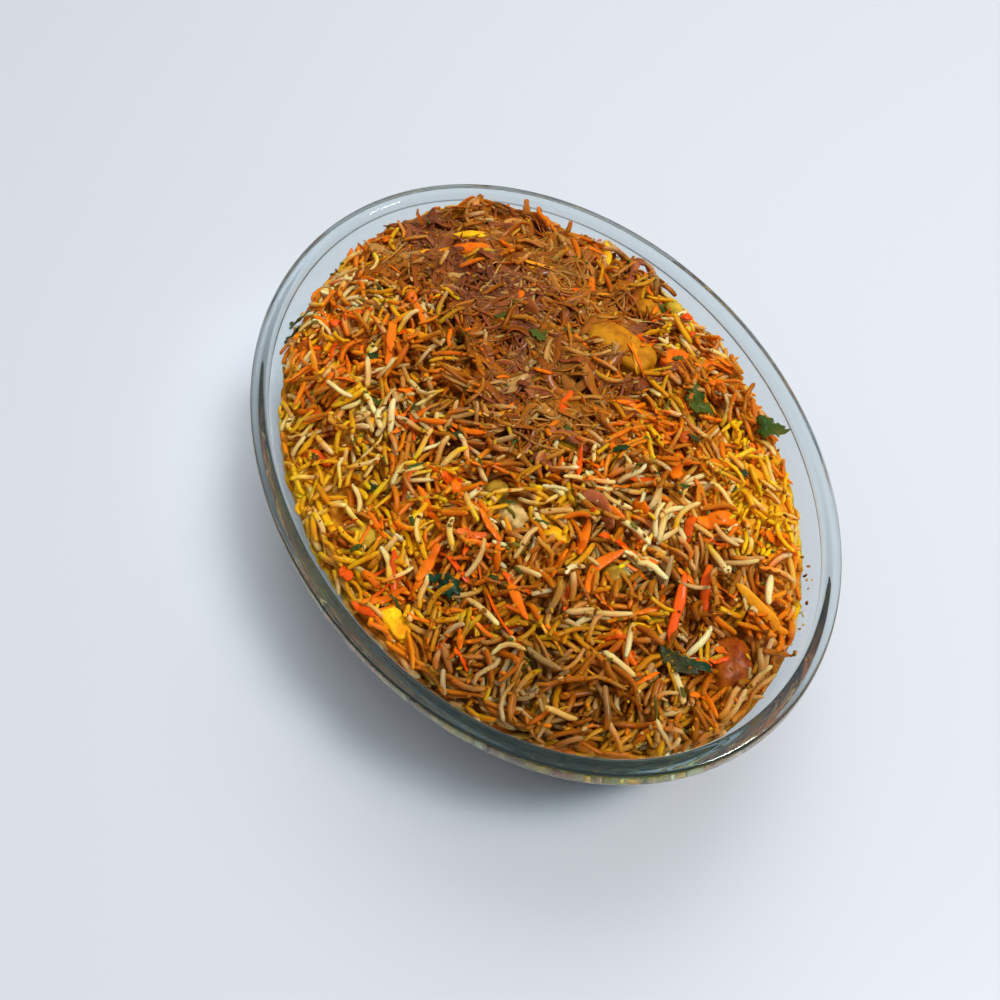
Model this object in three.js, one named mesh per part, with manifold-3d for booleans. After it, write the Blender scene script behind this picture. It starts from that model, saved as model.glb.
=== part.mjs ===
// Vegetable biryani, heaped in an oval glass serving dish and strewn with fried onions.
// Units are millimetres and +Z is up. The origin is the middle of the dish's flat base,
// and +X runs along the dish's length.
import * as THREE from "three";
import { mergeVertices } from "three/addons/utils/BufferGeometryUtils.js";
import Module from "manifold-3d";

// ---------------------------------------------------------------------------
// Driving dimensions
// ---------------------------------------------------------------------------

// The glass dish.
const DISH_LENGTH = 262;
const DISH_WIDTH = 184;
const DISH_HEIGHT = 60;
const WALL_FLARE = THREE.MathUtils.degToRad(20); // how far the wall leans out from upright
const WALL_THICKNESS = 4.5;
const FLOOR_THICKNESS = 5.5;
const OUTER_CORNER_RADIUS = 14; // where the wall turns into the base
const INNER_CORNER_RADIUS = 12;
const BEAD_WIDTH = 6.2; // the rounded bead that runs round the rim
const BEAD_HEIGHT = 6.2;
const BEAD_OVERHANG = 2.6; // how far the bead stands out beyond the wall

// The rice. Heights are measured from the rim, so a minus sign means below it.
const RICE_EDGE_LEVEL = -9.5; // where the rice meets the glass, before the swells below
const RICE_CROWN = 3; // the middle of the heap
const SHOULDER_POWER = 3; // a higher power holds the heap level for longer before its edge
const FAR_RIDGE = { x: -55, y: 15, reachX: 40, reachY: 35, height: 4 };

// Each swell raises (or a minus sign lowers) the rice's edge round one bearing, in degrees.
const EDGE_SWELLS = [
  { bearing: 158, reach: 28, rise: 6 },
  { bearing: -80, reach: 28, rise: 3 },
  { bearing: 45, reach: 30, rise: -4 },
  { bearing: 16, reach: 16, rise: -6 },
  { bearing: -150, reach: 30, rise: -1.5 },
];

// The fried onions: a tangled mat sunk a little into the rice.
const MAT_RISE = 1.6;
const MAT_SINK = 2.4;

// The strips of vegetable: how much narrower they get at their ends, as a share.
const STRIP_TAPER = 0.45;

// Clearance between pieces that touch, and how finely round things are divided.
const GAP = 0.35;
const ROUND_STEPS = 60; // round the dish and the heap
const HEAP_RINGS = [0.93, 0.84, 0.73, 0.6, 0.46, 0.31, 0.16]; // as shares of the way to the glass
const MAT_STEPS = 30; // round the onion mat
const LUMP_STEPS = { around: 10, up: 6 };
const STRIP_STEPS = { around: 6, along: 6 };

const HALF_LENGTH = DISH_LENGTH / 2;
const HALF_WIDTH = DISH_WIDTH / 2;

// ---------------------------------------------------------------------------
// Solids from grids, and cutting one solid from another
// ---------------------------------------------------------------------------

const wasm = await Module();
wasm.setup();

/** Six times the signed volume of an indexed geometry: minus when its faces point inwards. */
function signedVolume(position, index) {
  const [a, b, c] = [new THREE.Vector3(), new THREE.Vector3(), new THREE.Vector3()];
  let sum = 0;
  for (let i = 0; i < index.length; i += 3) {
    a.fromBufferAttribute(position, index[i]);
    b.fromBufferAttribute(position, index[i + 1]);
    c.fromBufferAttribute(position, index[i + 2]);
    sum += a.dot(b.cross(c));
  }
  return sum;
}

/**
 * A closed body from rings of points, all with the same number of points, and one pole point
 * at each end. Neighbouring rings are joined by quads and the end rings fan to their poles.
 */
function bodyFromRings(firstPole, rings, lastPole) {
  const around = rings[0].length;
  const points = [firstPole, ...rings.flat(), lastPole];
  const last = points.length - 1;
  const at = (ring, step) => 1 + ring * around + (step % around);
  const index = [];
  for (let i = 0; i < around; i++) {
    index.push(0, at(0, i + 1), at(0, i));
    for (let r = 0; r + 1 < rings.length; r++) {
      index.push(at(r, i), at(r, i + 1), at(r + 1, i + 1));
      index.push(at(r, i), at(r + 1, i + 1), at(r + 1, i));
    }
    index.push(last, at(rings.length - 1, i), at(rings.length - 1, i + 1));
  }
  const geometry = new THREE.BufferGeometry().setFromPoints(points);
  const inwards = signedVolume(geometry.getAttribute("position"), index) < 0;
  geometry.setIndex(inwards ? index.reverse() : index);
  return geometry;
}

/** The geometry as a solid that can be joined and cut. */
function toSolid(geometry) {
  const bare = geometry.clone();
  bare.deleteAttribute("normal");
  bare.deleteAttribute("uv");
  const merged = mergeVertices(bare, 1e-4);
  return new wasm.Manifold(
    new wasm.Mesh({
      numProp: 3,
      vertProperties: merged.getAttribute("position").array,
      triVerts: new Uint32Array(merged.index.array),
    }),
  );
}

/** The solid as a geometry again. */
function toGeometry(solid) {
  const mesh = solid.getMesh();
  const position = new THREE.BufferAttribute(mesh.vertProperties, mesh.numProp);
  const geometry = new THREE.BufferGeometry().setAttribute("position", position);
  return geometry.setIndex(new THREE.BufferAttribute(mesh.triVerts, 1));
}

/** The body with every cutter taken out of it, keeping only its largest piece. */
function cutBy(geometry, cutters) {
  const cut = cutters.reduce((body, cutter) => body.subtract(toSolid(cutter)), toSolid(geometry));
  const [largest] = cut.decompose().sort((a, b) => b.volume() - a.volume());
  return toGeometry(largest);
}

// ---------------------------------------------------------------------------
// The glass dish: one profile of inset and height, carried round an ellipse
// ---------------------------------------------------------------------------

/** Points along an arc, in the profile's plane of (outwards, up), angles in degrees. */
function arc(centre, radiusOut, radiusUp, from, to, steps) {
  return Array.from({ length: steps + 1 }, (_, i) => {
    const angle = THREE.MathUtils.degToRad(from + ((to - from) * i) / steps);
    const out = centre.x + radiusOut * Math.cos(angle);
    return new THREE.Vector2(out, centre.y + radiusUp * Math.sin(angle));
  });
}

/** The point at `angle` on the level oval that lies `out` beyond the rim (minus is inside it). */
function ovalPoint(out, height, angle) {
  const x = (HALF_LENGTH + out) * Math.cos(angle);
  return new THREE.Vector3(x, (HALF_WIDTH + out) * Math.sin(angle), height);
}

const stepAngle = (i, steps) => (2 * Math.PI * i) / steps;

const ring = (steps, pointAt) =>
  Array.from({ length: steps }, (_, i) => pointAt(stepAngle(i, steps)));

/** The line of a leaning wall in profile, `depth` inside the dish's outer surface. */
function wallLine(depth) {
  const normal = new THREE.Vector2(Math.cos(WALL_FLARE), -Math.sin(WALL_FLARE));
  const top = new THREE.Vector2(-BEAD_OVERHANG, DISH_HEIGHT - BEAD_HEIGHT);
  return { top: top.addScaledVector(normal, -depth), lean: Math.tan(WALL_FLARE) };
}

/** The arc that joins a wall to a flat floor, running from the floor up to the wall. */
function cornerArc(depth, floor, radius, steps) {
  const { top } = wallLine(depth);
  const rise = (floor + radius - top.y) * Math.sin(WALL_FLARE);
  const out = top.x + (rise - radius) / Math.cos(WALL_FLARE);
  const end = -THREE.MathUtils.radToDeg(WALL_FLARE);
  return arc(new THREE.Vector2(out, floor + radius), radius, radius, -90, end, steps);
}

function dishGeometry() {
  const beadCentre = new THREE.Vector2(-BEAD_WIDTH / 2, DISH_HEIGHT - BEAD_HEIGHT / 2);
  const bead = arc(beadCentre, BEAD_WIDTH / 2, BEAD_HEIGHT / 2, -60, 180, 12);
  const profile = [
    ...cornerArc(0, 0, OUTER_CORNER_RADIUS, 4),
    wallLine(0).top,
    ...bead,
    wallLine(WALL_THICKNESS).top,
    ...cornerArc(WALL_THICKNESS, FLOOR_THICKNESS, INNER_CORNER_RADIUS, 4).reverse(),
  ];
  const rings = profile.map((p) => ring(ROUND_STEPS, (angle) => ovalPoint(p.x, p.y, angle)));
  const middle = (height) => new THREE.Vector3(0, 0, height);
  return bodyFromRings(middle(0), rings, middle(FLOOR_THICKNESS));
}

// ---------------------------------------------------------------------------
// The rice: a heap that fills the dish and swells to an uneven top
// ---------------------------------------------------------------------------

/** How far the inner wall lies in from the rim's outer edge, at a height (a minus number). */
function innerWallOut(height, gap = 0) {
  const { top, lean } = wallLine(WALL_THICKNESS + gap);
  return top.x + (height - top.y) * lean;
}

/** Height of the rice's edge above the base, for a bearing in degrees. */
function edgeHeight(bearing) {
  const swells = EDGE_SWELLS.map(({ bearing: centre, reach, rise }) => {
    const away = THREE.MathUtils.euclideanModulo(bearing - centre + 180, 360) - 180;
    return rise * Math.exp(-((away / reach) ** 2));
  });
  return DISH_HEIGHT + swells.reduce((sum, swell) => sum + swell, RICE_EDGE_LEVEL);
}

/** Slow lumps that a spoon leaves in a heap of rice. */
const spoonLumps = (x, y) =>
  1.3 * Math.sin(x / 17 + 0.4) * Math.cos(y / 14 - 0.7) +
  0.9 * Math.sin(x / 8.5 - y / 11 + 1.1) +
  0.6 * Math.cos(x / 6 + y / 7.5);

/** Height of the rice above the base at (x, y): its edge level, rising inwards to the crown. */
function riceHeight(x, y) {
  const out = innerWallOut(DISH_HEIGHT + RICE_EDGE_LEVEL);
  const [across, along] = [y / (HALF_WIDTH + out), x / (HALF_LENGTH + out)];
  const share = Math.min(1, Math.hypot(along, across));
  const bearing = THREE.MathUtils.radToDeg(Math.atan2(across, along));
  const crown = DISH_HEIGHT + RICE_CROWN;
  const dome = crown + (edgeHeight(bearing) - crown) * share ** SHOULDER_POWER;
  const { x: rx, y: ry, reachX, reachY, height } = FAR_RIDGE;
  const ridge = height * Math.exp(-(((x - rx) / reachX) ** 2) - ((y - ry) / reachY) ** 2);
  return dome + (ridge + spoonLumps(x, y)) * (1 - share ** 4);
}

function riceGeometry() {
  const floor = FLOOR_THICKNESS + GAP;
  const corner = cornerArc(WALL_THICKNESS + GAP, floor, INNER_CORNER_RADIUS - GAP, 3);
  const rings = corner.map((p) => ring(ROUND_STEPS, (angle) => ovalPoint(p.x, p.y, angle)));
  rings.push(
    ring(ROUND_STEPS, (angle) => {
      const height = edgeHeight(THREE.MathUtils.radToDeg(angle));
      return ovalPoint(innerWallOut(height, GAP), height, angle);
    }),
  );
  const out = innerWallOut(DISH_HEIGHT + RICE_EDGE_LEVEL, GAP);
  for (const share of HEAP_RINGS) {
    rings.push(
      ring(ROUND_STEPS, (angle) => {
        const x = share * (HALF_LENGTH + out) * Math.cos(angle);
        const y = share * (HALF_WIDTH + out) * Math.sin(angle);
        return new THREE.Vector3(x, y, riceHeight(x, y));
      }),
    );
  }
  const middle = (height) => new THREE.Vector3(0, 0, height);
  return bodyFromRings(middle(floor), rings, middle(riceHeight(0, 0)));
}

// ---------------------------------------------------------------------------
// The fried onions: one mat over the far half of the heap
// ---------------------------------------------------------------------------

// The mat's uneven outline, as points on the heap, counterclockwise from its near corner.
const MAT_OUTLINE = [
  [24, 10], [24, 32], [8, 56], [-14, 66], [-42, 66], [-70, 58], [-94, 46],
  [-110, 26], [-108, 2], [-88, -12], [-62, -9], [-44, -12], [-18, -24], [8, -18],
].map(([x, y]) => new THREE.Vector3(x, y, 0));
const MAT_CENTRE = new THREE.Vector3(-38, 20, 0);

/** The mat, or the hollow it lies in when it is grown by a gap. */
function onionMatGeometry(grow = 0) {
  const outline = new THREE.CatmullRomCurve3(MAT_OUTLINE, true, "centripetal");
  const edge = outline.getSpacedPoints(MAT_STEPS).slice(0, MAT_STEPS);
  const lay = (share, lift) =>
    edge.map((p) => {
      const away = p.clone().sub(MAT_CENTRE);
      const { x, y } = MAT_CENTRE.clone().add(away.setLength(away.length() * share + grow));
      return new THREE.Vector3(x, y, riceHeight(x, y) + lift);
    });
  const { x, y } = MAT_CENTRE;
  const pole = (lift) => new THREE.Vector3(x, y, riceHeight(x, y) + lift);
  const [under, over] = [-MAT_SINK - grow, MAT_RISE + grow];
  const below = [0.35, 0.65, 0.9].map((share) => lay(share, under));
  const above = [0.96, 0.75, 0.5, 0.25].map((share) => lay(share, over));
  const rim = lay(1, (under + over) / 2);
  return bodyFromRings(pole(under), [...below, rim, ...above], pole(over));
}

// ---------------------------------------------------------------------------
// Toppings: lumps and strips, each given by where it lies on the heap
// ---------------------------------------------------------------------------

/**
 * A rounded lump. `half` is its half-sizes, `power` squares it off (2 is an ellipsoid), and
 * `dent` makes slow waves on it, as a share of its size. It lies at `at`, [x, y, lift], where
 * lift is its middle's height above the rice, turned by `turn` and tipped by `tip` degrees.
 */
function lump({ at: [x, y, lift], half, turn = 0, tip = 0, power = 2, dent = 0 }, grow = 0) {
  const { around, up } = LUMP_STEPS;
  const placed = new THREE.Matrix4()
    .makeRotationZ(THREE.MathUtils.degToRad(turn))
    .multiply(new THREE.Matrix4().makeRotationY(THREE.MathUtils.degToRad(tip)))
    .setPosition(x, y, riceHeight(x, y) + lift);
  const pointAt = (angle, rise) => {
    const d = new THREE.Vector3(
      Math.cos(rise) * Math.cos(angle),
      Math.cos(rise) * Math.sin(angle),
      Math.sin(rise),
    );
    const reach = Math.abs(d.x) ** power + Math.abs(d.y) ** power + Math.abs(d.z) ** power;
    const waves = Math.sin(3 * angle + x) * Math.cos(2 * rise) + Math.cos(2 * angle - y);
    d.multiplyScalar(reach ** (-1 / power) * (1 + dent * waves * Math.cos(rise)));
    return d.multiply(new THREE.Vector3(...half).addScalar(grow)).applyMatrix4(placed);
  };
  const rings = Array.from({ length: up - 1 }, (_, i) =>
    ring(around, (angle) => pointAt(angle, Math.PI * ((i + 1) / up - 0.5))),
  );
  return bodyFromRings(pointAt(0, -Math.PI / 2), rings, pointAt(0, Math.PI / 2));
}

/**
 * A strip of vegetable: an oval section of `width` by `thick` carried along a smooth curve
 * through `path`, points [x, y, lift], with narrower rounded ends. It lies flat, or with its
 * width along `across` where that is given, as on a strip that curls up on edge.
 */
function strip({ path, width, thick, across }, grow = 0) {
  const points = path.map(([x, y, lift]) => new THREE.Vector3(x, y, riceHeight(x, y) + lift));
  const curve = new THREE.CatmullRomCurve3(points, false, "centripetal");
  const { around, along } = STRIP_STEPS;
  const up = new THREE.Vector3(0, 0, 1);
  const rings = Array.from({ length: along + 1 }, (_, i) => {
    const [u, end] = [i / along, Math.abs((2 * i) / along - 1)];
    const tangent = curve.getTangentAt(u);
    const side = across ? new THREE.Vector3(...across) : up.clone().cross(tangent);
    side.addScaledVector(tangent, -side.dot(tangent)).normalize();
    const normal = tangent.clone().cross(side);
    const taper = 1 - STRIP_TAPER * end ** 4;
    const [w, t] = [(width / 2) * taper + grow, (thick / 2) * taper + grow];
    return ring(around, (angle) =>
      curve
        .getPointAt(u)
        .addScaledVector(side, w * Math.cos(angle))
        .addScaledVector(normal, t * Math.sin(angle)),
    );
  });
  const tip = (u, sign) =>
    curve.getPointAt(u).addScaledVector(curve.getTangentAt(u), sign * (thick / 3 + grow));
  return bodyFromRings(tip(0, -1), rings, tip(1, 1));
}

const COLOURS = {
  potato: 0xb88a1c,
  pea: 0x8f8a34,
  carrot: 0xe06a14,
  pepper: 0xdcb21c,
  onion: 0xb07a3a,
  floret: 0xb0a074,
  tomato: 0x8c3410,
  cabbage: 0xa89a48,
};

// Every topping as large as a berry, with its shape, its colour and how it lies.
const TOPPINGS = [
  ["potato_wedge", "potato", lump,
    { at: [-20, 43, -0.6], half: [13.5, 6.6, 5], turn: 28, tip: 4, power: 3, dent: 0.04 }],
  ["potato_small", "potato", lump,
    { at: [-36, 62, 1], half: [5.4, 3.8, 3.2], turn: 35, power: 2.6, dent: 0.05 }],
  ["pea_back", "pea", lump, { at: [22, -22, 0.6], half: [4, 4, 3.8] }],
  ["pea_front", "pea", lump, { at: [66, -1, 0.8], half: [4.5, 4.5, 4.2] }],
  ["cauliflower_floret", "floret", lump,
    { at: [34, -21.5, 0.6], half: [5.6, 4.2, 3.8], turn: 30, power: 2.4, dent: 0.07 }],
  ["carrot_slice", "carrot", strip,
    { path: [[-89, 5, 0.8], [-84, 12, 1.5], [-81, 19, 0.9]], width: 5.6, thick: 3 }],
  ["carrot_piece", "carrot", lump,
    { at: [-8, 59, 1.2], half: [5, 4, 2.6], turn: 40, power: 3 }],
  ["pepper_back", "pepper", strip,
    { path: [[-96, 8, 1.6], [-92, 15, 2.4], [-88, 21, 1.6]], width: 3.4, thick: 2 }],
  ["pepper_stub", "pepper", strip,
    { path: [[25, -8.5, 0.9], [29, -10.5, 1.5], [33, -12.5, 1]], width: 3.4, thick: 2.2 }],
  ["pepper_wedge", "pepper", strip,
    { path: [[41, -16, 0.9], [45, -12.5, 1.5], [49.5, -8.5, 0.8]], width: 4.6, thick: 2.2 }],
  ["pepper_curve", "pepper", strip,
    { path: [[84, -7.5, 0.8], [83, -1.5, 2], [85.5, 3, 1.6], [90, 5, 0.4]], width: 3, thick: 2 }],
  ["pepper_chunk", "pepper", lump,
    { at: [52, -68, 0.9], half: [6.4, 3.6, 3.2], turn: 8, power: 2.8, dent: 0.05 }],
  ["pepper_sliver", "pepper", strip,
    { path: [[-3, -76, 0.9], [6, -76, 1.2], [15, -75, 0.8]], width: 2.6, thick: 2.6 }],
  ["pepper_upright", "pepper", strip,
    { path: [[-64, 59, 0.4], [-68.5, 61.5, 3.4], [-72.5, 63.5, 7.4]], width: 3.6, thick: 1.8,
      across: [0.4, 1, 0] }],
  ["onion_petal_far", "onion", lump,
    { at: [-94, 34, 1.2], half: [6, 4.4, 1.7], turn: 35, tip: -8, power: 2.6 }],
  ["onion_petal_top", "onion", lump,
    { at: [-112.5, 24.5, 3], half: [2.4, 4.8, 2.4], turn: 10, tip: 20 }],
  ["onion_petal_left", "onion", strip,
    { path: [[-79, -36, 0.8], [-75, -29, 2.2], [-75, -22, 0.8]], width: 6, thick: 1.8 }],
  ["onion_petal_right", "onion", lump,
    { at: [99, 34.5, 3.4], half: [2, 4.6, 2], turn: -35, tip: 10, power: 2.4 }],
  ["onion_curl_right", "onion", strip,
    { path: [[-16, 73, 1.2], [-11, 72.5, 2.6], [-8, 74.5, 5.4], [-9.5, 77, 7], [-13, 78.5, 7]],
      width: 4, thick: 1.6, across: [0.3, -0.4, 0.8] }],
  ["onion_curl_back", "onion", strip,
    { path: [[-43, 57, 0.8], [-48.5, 61, 3], [-54, 65.5, 6.2], [-57, 68.5, 8.2], [-55, 72, 8]],
      width: 3.2, thick: 1.6, across: [0.5, -0.8, 0] }],
  ["tomato_wedge", "tomato", lump,
    { at: [101, 23, 1.6], half: [8.6, 6, 4.4], turn: 165, tip: -14, power: 2.6, dent: 0.05 }],
  ["tomato_left", "tomato", lump,
    { at: [-65, -58.5, 0.8], half: [7.4, 4.4, 3.8], turn: 28, power: 2.6, dent: 0.05 }],
  ["tomato_bit", "tomato", lump,
    { at: [-58, -41, 0.5], half: [5.4, 4.4, 3], turn: 40, power: 2.6, dent: 0.06 }],
  ["cabbage_left", "cabbage", lump,
    { at: [19, -66, 0.6], half: [5.6, 4.2, 2.6], turn: 80, power: 2.4, dent: 0.08 }],
  ["cabbage_right", "cabbage", lump,
    { at: [-34, 72.5, 1.8], half: [4, 2.8, 2.6], turn: 10, power: 2.6, dent: 0.06 }],
];

// ---------------------------------------------------------------------------
// Assembly
// ---------------------------------------------------------------------------

/** One named piece with its own finish. */
function piece(name, geometry, colour, roughness, more = {}) {
  const shaded = geometry.index ? geometry.toNonIndexed() : geometry;
  shaded.computeVertexNormals();
  const finish = new THREE.MeshStandardMaterial({ color: colour, roughness, ...more });
  const mesh = new THREE.Mesh(shaded, finish);
  mesh.name = name;
  return mesh;
}

const toppingHollows = TOPPINGS.map(([, , shape, form]) => shape(form, GAP));
const riceCutters = [onionMatGeometry(GAP), ...toppingHollows];

const glassLook = { transparent: true, opacity: 0.35 };
const dish = piece("glass_dish", dishGeometry(), 0xcfe0e0, 0.05, glassLook);
const rice = piece("rice_heap", cutBy(riceGeometry(), riceCutters), 0xd0902c, 0.7);
const onions = piece("fried_onions", cutBy(onionMatGeometry(), toppingHollows), 0x7a3c1c, 0.55);

const food = new THREE.Group();
food.add(rice, onions);
for (const [name, colour, shape, form] of TOPPINGS) {
  food.add(piece(name, shape(form), COLOURS[colour], 0.5));
}

const group = new THREE.Group();
group.add(dish, food);

export default group;
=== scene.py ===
# %% [markdown]
# # Vegetable biryani in an oval glass dish
#
# A clear oval dish with leaning walls and a rounded bead holds a heap of long-grain rice in
# cream, yellow, orange and masala brown. Fried onions cover its far half, and shreds of carrot,
# peas, potato, peppers, soft onion, tomato and torn coriander lie over it.
#
# A heap like this can be one lumpy surface with a picture on it, thousands of loose grains
# dropped by a physics solver, or grains laid one by one on a map of heights. The last way is
# used here: it is quick, it gives the same heap on every run, and each grain truly rests on
# what lies under it, which is what makes rice look like rice.
#
# All shapes are worked out in millimetres. The dish stands on z = 0, its length runs along x
# and its near end is at +x.

import bpy
import numpy as np
from mathutils import Matrix, Vector


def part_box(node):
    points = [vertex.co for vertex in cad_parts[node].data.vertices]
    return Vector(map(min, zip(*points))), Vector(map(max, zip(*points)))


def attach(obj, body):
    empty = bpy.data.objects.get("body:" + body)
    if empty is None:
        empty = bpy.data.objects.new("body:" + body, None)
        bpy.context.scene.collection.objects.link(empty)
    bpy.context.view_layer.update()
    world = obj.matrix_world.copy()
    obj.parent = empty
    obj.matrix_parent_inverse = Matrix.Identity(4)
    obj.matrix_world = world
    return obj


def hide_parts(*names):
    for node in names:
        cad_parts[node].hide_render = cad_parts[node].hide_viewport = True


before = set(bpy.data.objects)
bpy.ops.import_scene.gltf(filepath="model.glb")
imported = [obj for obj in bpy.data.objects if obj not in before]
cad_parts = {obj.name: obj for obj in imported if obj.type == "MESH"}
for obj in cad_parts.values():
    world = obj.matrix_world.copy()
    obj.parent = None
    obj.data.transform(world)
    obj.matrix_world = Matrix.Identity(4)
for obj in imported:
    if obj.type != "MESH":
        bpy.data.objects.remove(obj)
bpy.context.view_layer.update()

MM = 0.001
HALF_LENGTH, HALF_WIDTH, RIM = np.array(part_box("glass_dish")[1]) / MM
print(f"dish {2 * HALF_LENGTH:.0f} x {2 * HALF_WIDTH:.0f} x {RIM:.0f} mm")

# %% [markdown]
# ## Skins from rings
#
# A grain, a strip of onion, a pea and the dish itself can all be described as a row of rings.
# One function then makes the mesh of any of them, or of a thousand at once. That is simpler
# than a sphere here and a cylinder there, and it leaves no open seams: a cap closes each end.


# %% Rings to one mesh
def unit(vectors):
    """Vectors divided by their own lengths."""
    return vectors / np.maximum(np.linalg.norm(vectors, axis=-1, keepdims=True), 1e-9)


def skin(rings):
    """Numbers of the quads between neighbouring rings, and of the cap on each end ring.

    rings is (bodies, rings, around, 3). Point j of ring i is joined to point j + 1 of the same
    ring and to points j and j + 1 of ring i + 1.
    """
    bodies, count, around = rings.shape[:3]
    number = np.arange(bodies * count * around).reshape(bodies, count, around)
    after = np.roll(number, -1, axis=2)
    quads = np.stack([number[:, :-1], after[:, :-1], after[:, 1:], number[:, 1:]], -1)
    caps = np.concatenate([number[:, 0, ::-1], number[:, -1]])
    quads = quads.reshape(-1, 4)
    a, b, c = (rings.reshape(-1, 3)[quads[:, i]] for i in range(3))
    if np.einsum("ij,ij->", a - rings.mean((0, 1, 2)), np.cross(b - a, c - a)) < 0:
        quads, caps = quads[:, ::-1], caps[:, ::-1]
    return quads, caps


def add_piece(name, rings, finish, tint=None, stands_for=()):
    """One joined mesh from rings in millimetres. tint is a colour for each point."""
    quads, caps = skin(rings)
    mesh = bpy.data.meshes.new(name)
    mesh.vertices.add(rings.size // 3)
    mesh.vertices.foreach_set("co", (rings * MM).ravel())
    mesh.loops.add(quads.size + caps.size)
    mesh.loops.foreach_set("vertex_index", np.concatenate([quads.ravel(), caps.ravel()]))
    starts = [np.arange(len(quads)) * 4, quads.size + np.arange(len(caps)) * caps.shape[1]]
    mesh.polygons.add(len(quads) + len(caps))
    mesh.polygons.foreach_set("loop_start", np.concatenate(starts))
    mesh.update(calc_edges=True)
    mesh.shade_smooth()
    if tint is not None:
        rgba = np.ones((rings.size // 3, 4))
        rgba[:, :3] = np.broadcast_to(tint, rings.shape).reshape(-1, 3)
        mesh.attributes.new("tint", "FLOAT_COLOR", "POINT").data.foreach_set("color", rgba.ravel())
    mesh.materials.append(finish)
    piece = bpy.data.objects.new(name, mesh)
    bpy.context.scene.collection.objects.link(piece)
    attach(piece, "root")
    if stands_for:
        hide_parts(*stands_for)
    triangles = 2 * len(quads) + len(caps) * (caps.shape[1] - 2)
    print(f"{name}: {rings.shape[0]} bodies, {triangles} triangles")


# %% [markdown]
# ## A profile carried along a path
#
# A grain of rice, a shred of carrot and a ribbon of onion are all an oval section that runs
# along a line. The section's width follows a side direction, so a ribbon can lie flat, stand
# on edge or twist.


# %% Ovals along paths
def carry(path, side, half_width, half_thick, around):
    """Rings along many paths: point = path + side * w * cos a + normal * t * sin a.

    path and side are (bodies, rings, 3), the half sizes fit (bodies, rings), and the normal is
    square to the path and to the side.
    """
    along = unit(np.gradient(path, axis=1))
    normal = unit(np.cross(along, np.broadcast_to(side, path.shape)))
    side = np.cross(normal, along)
    angle = 2 * np.pi * np.arange(around) / around
    wide = np.broadcast_to(half_width, path.shape[:2])[..., None, None]
    thick = np.broadcast_to(half_thick, path.shape[:2])[..., None, None]
    round_side = side[:, :, None] * np.cos(angle)[:, None] * wide
    return path[:, :, None] + round_side + normal[:, :, None] * np.sin(angle)[:, None] * thick


def smooth_path(points, count):
    """A soft curve through a few points: each stretch is a cubic with shared slopes."""
    points = np.asarray(points, float)
    at = np.linspace(0, len(points) - 1, count)
    slopes = np.gradient(points, axis=0)
    start = np.minimum(at.astype(int), len(points) - 2)
    t = (at - start)[:, None]
    from_here = (1 + 2 * t) * (1 - t) ** 2 * points[start] + t * (1 - t) ** 2 * slopes[start]
    to_there = t**2 * (3 - 2 * t) * points[start + 1] + t**2 * (t - 1) * slopes[start + 1]
    return from_here + to_there


# %% [markdown]
# ## Shader arithmetic
#
# Wiring Math nodes by hand hides the formula, so a small class wraps a socket and lets plain
# arithmetic add the nodes: `0.4 + 0.2 * noise` reads as what it does. Colours are mixed by Mix
# nodes, because a Math node would turn them grey.


# %% Sockets that do arithmetic
def rgb(red, green, blue):
    """A colour given as 0 to 255 on a screen, as the linear values that shaders use."""
    screen = np.array([red, green, blue]) / 255
    return np.where(screen <= 0.04045, screen / 12.92, ((screen + 0.055) / 1.055) ** 2.4)


class Value:
    """A shader socket that arithmetic can be done on."""

    def __init__(self, finish, socket):
        self.finish, self.socket = finish, socket

    def maths(self, operation, first, second):
        return self.finish.node("ShaderNodeMath", {"operation": operation}, {0: first, 1: second})

    def __add__(self, other):
        return self.maths("ADD", self, other)

    def __mul__(self, other):
        return self.maths("MULTIPLY", self, other)

    __radd__, __rmul__ = __add__, __mul__


class Nodes:
    """A node tree that is being built, of a material or of the sky."""

    def __init__(self, owner):
        owner.use_nodes = True
        self.tree = owner.node_tree

    def put(self, socket, given):
        """Links a socket to a Value, or sets it."""
        if isinstance(given, Value):
            self.tree.links.new(given.socket, socket)
        elif np.ndim(given) and len(socket.default_value) == 4:
            socket.default_value = (*given, 1.0)
        else:
            socket.default_value = given

    def node(self, kind, settings, inputs, output=0):
        """A new node, set and wired. Returns one of its outputs."""
        made = self.tree.nodes.new(kind)
        for name, setting in settings.items():
            setattr(made, name, setting)
        for name, given in inputs.items():
            self.put(made.inputs[name], given)
        return Value(self, made.outputs[output])

    def mask(self, value, low, high):
        """0 below low, 1 above high, and an even slope between."""
        return self.node("ShaderNodeMapRange", {}, {"Value": value, "From Min": low,
                                                    "From Max": high})

    def mix(self, share, first, second):
        """second laid over first by share. The colour sockets of a Mix node are 6 and 7."""
        settings = {"data_type": "RGBA"}
        return self.node("ShaderNodeMix", settings, {0: share, 6: first, 7: second}, output=2)


class Finish(Nodes):
    """A material that is being built, with its Principled shader."""

    def __init__(self, name):
        self.material = bpy.data.materials.new(name)
        super().__init__(self.material)
        self.shader = self.tree.nodes["Principled BSDF"]
        self.place = self.node("ShaderNodeTexCoord", {}, {}, "Object")

    def noise(self, patch_mm, detail=3.0):
        """Cloudy patches about patch_mm across, from 0 to 1."""
        inputs = {"Vector": self.place, "Scale": 1 / (patch_mm * MM), "Detail": detail,
                  "Roughness": 0.55}
        return self.node("ShaderNodeTexNoise", {}, inputs)

    def bump(self, height, depth_mm):
        return self.node("ShaderNodeBump", {}, {
            "Height": height, "Distance": depth_mm * MM, "Strength": 1.0})

    def shade(self, **inputs):
        """Sets the Principled shader's sockets, named in words with _ for each space."""
        for name, given in inputs.items():
            words = name.replace("_", " ").title().replace("Ior", "IOR")
            self.put(self.shader.inputs[words], given)
        return self.material


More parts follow.
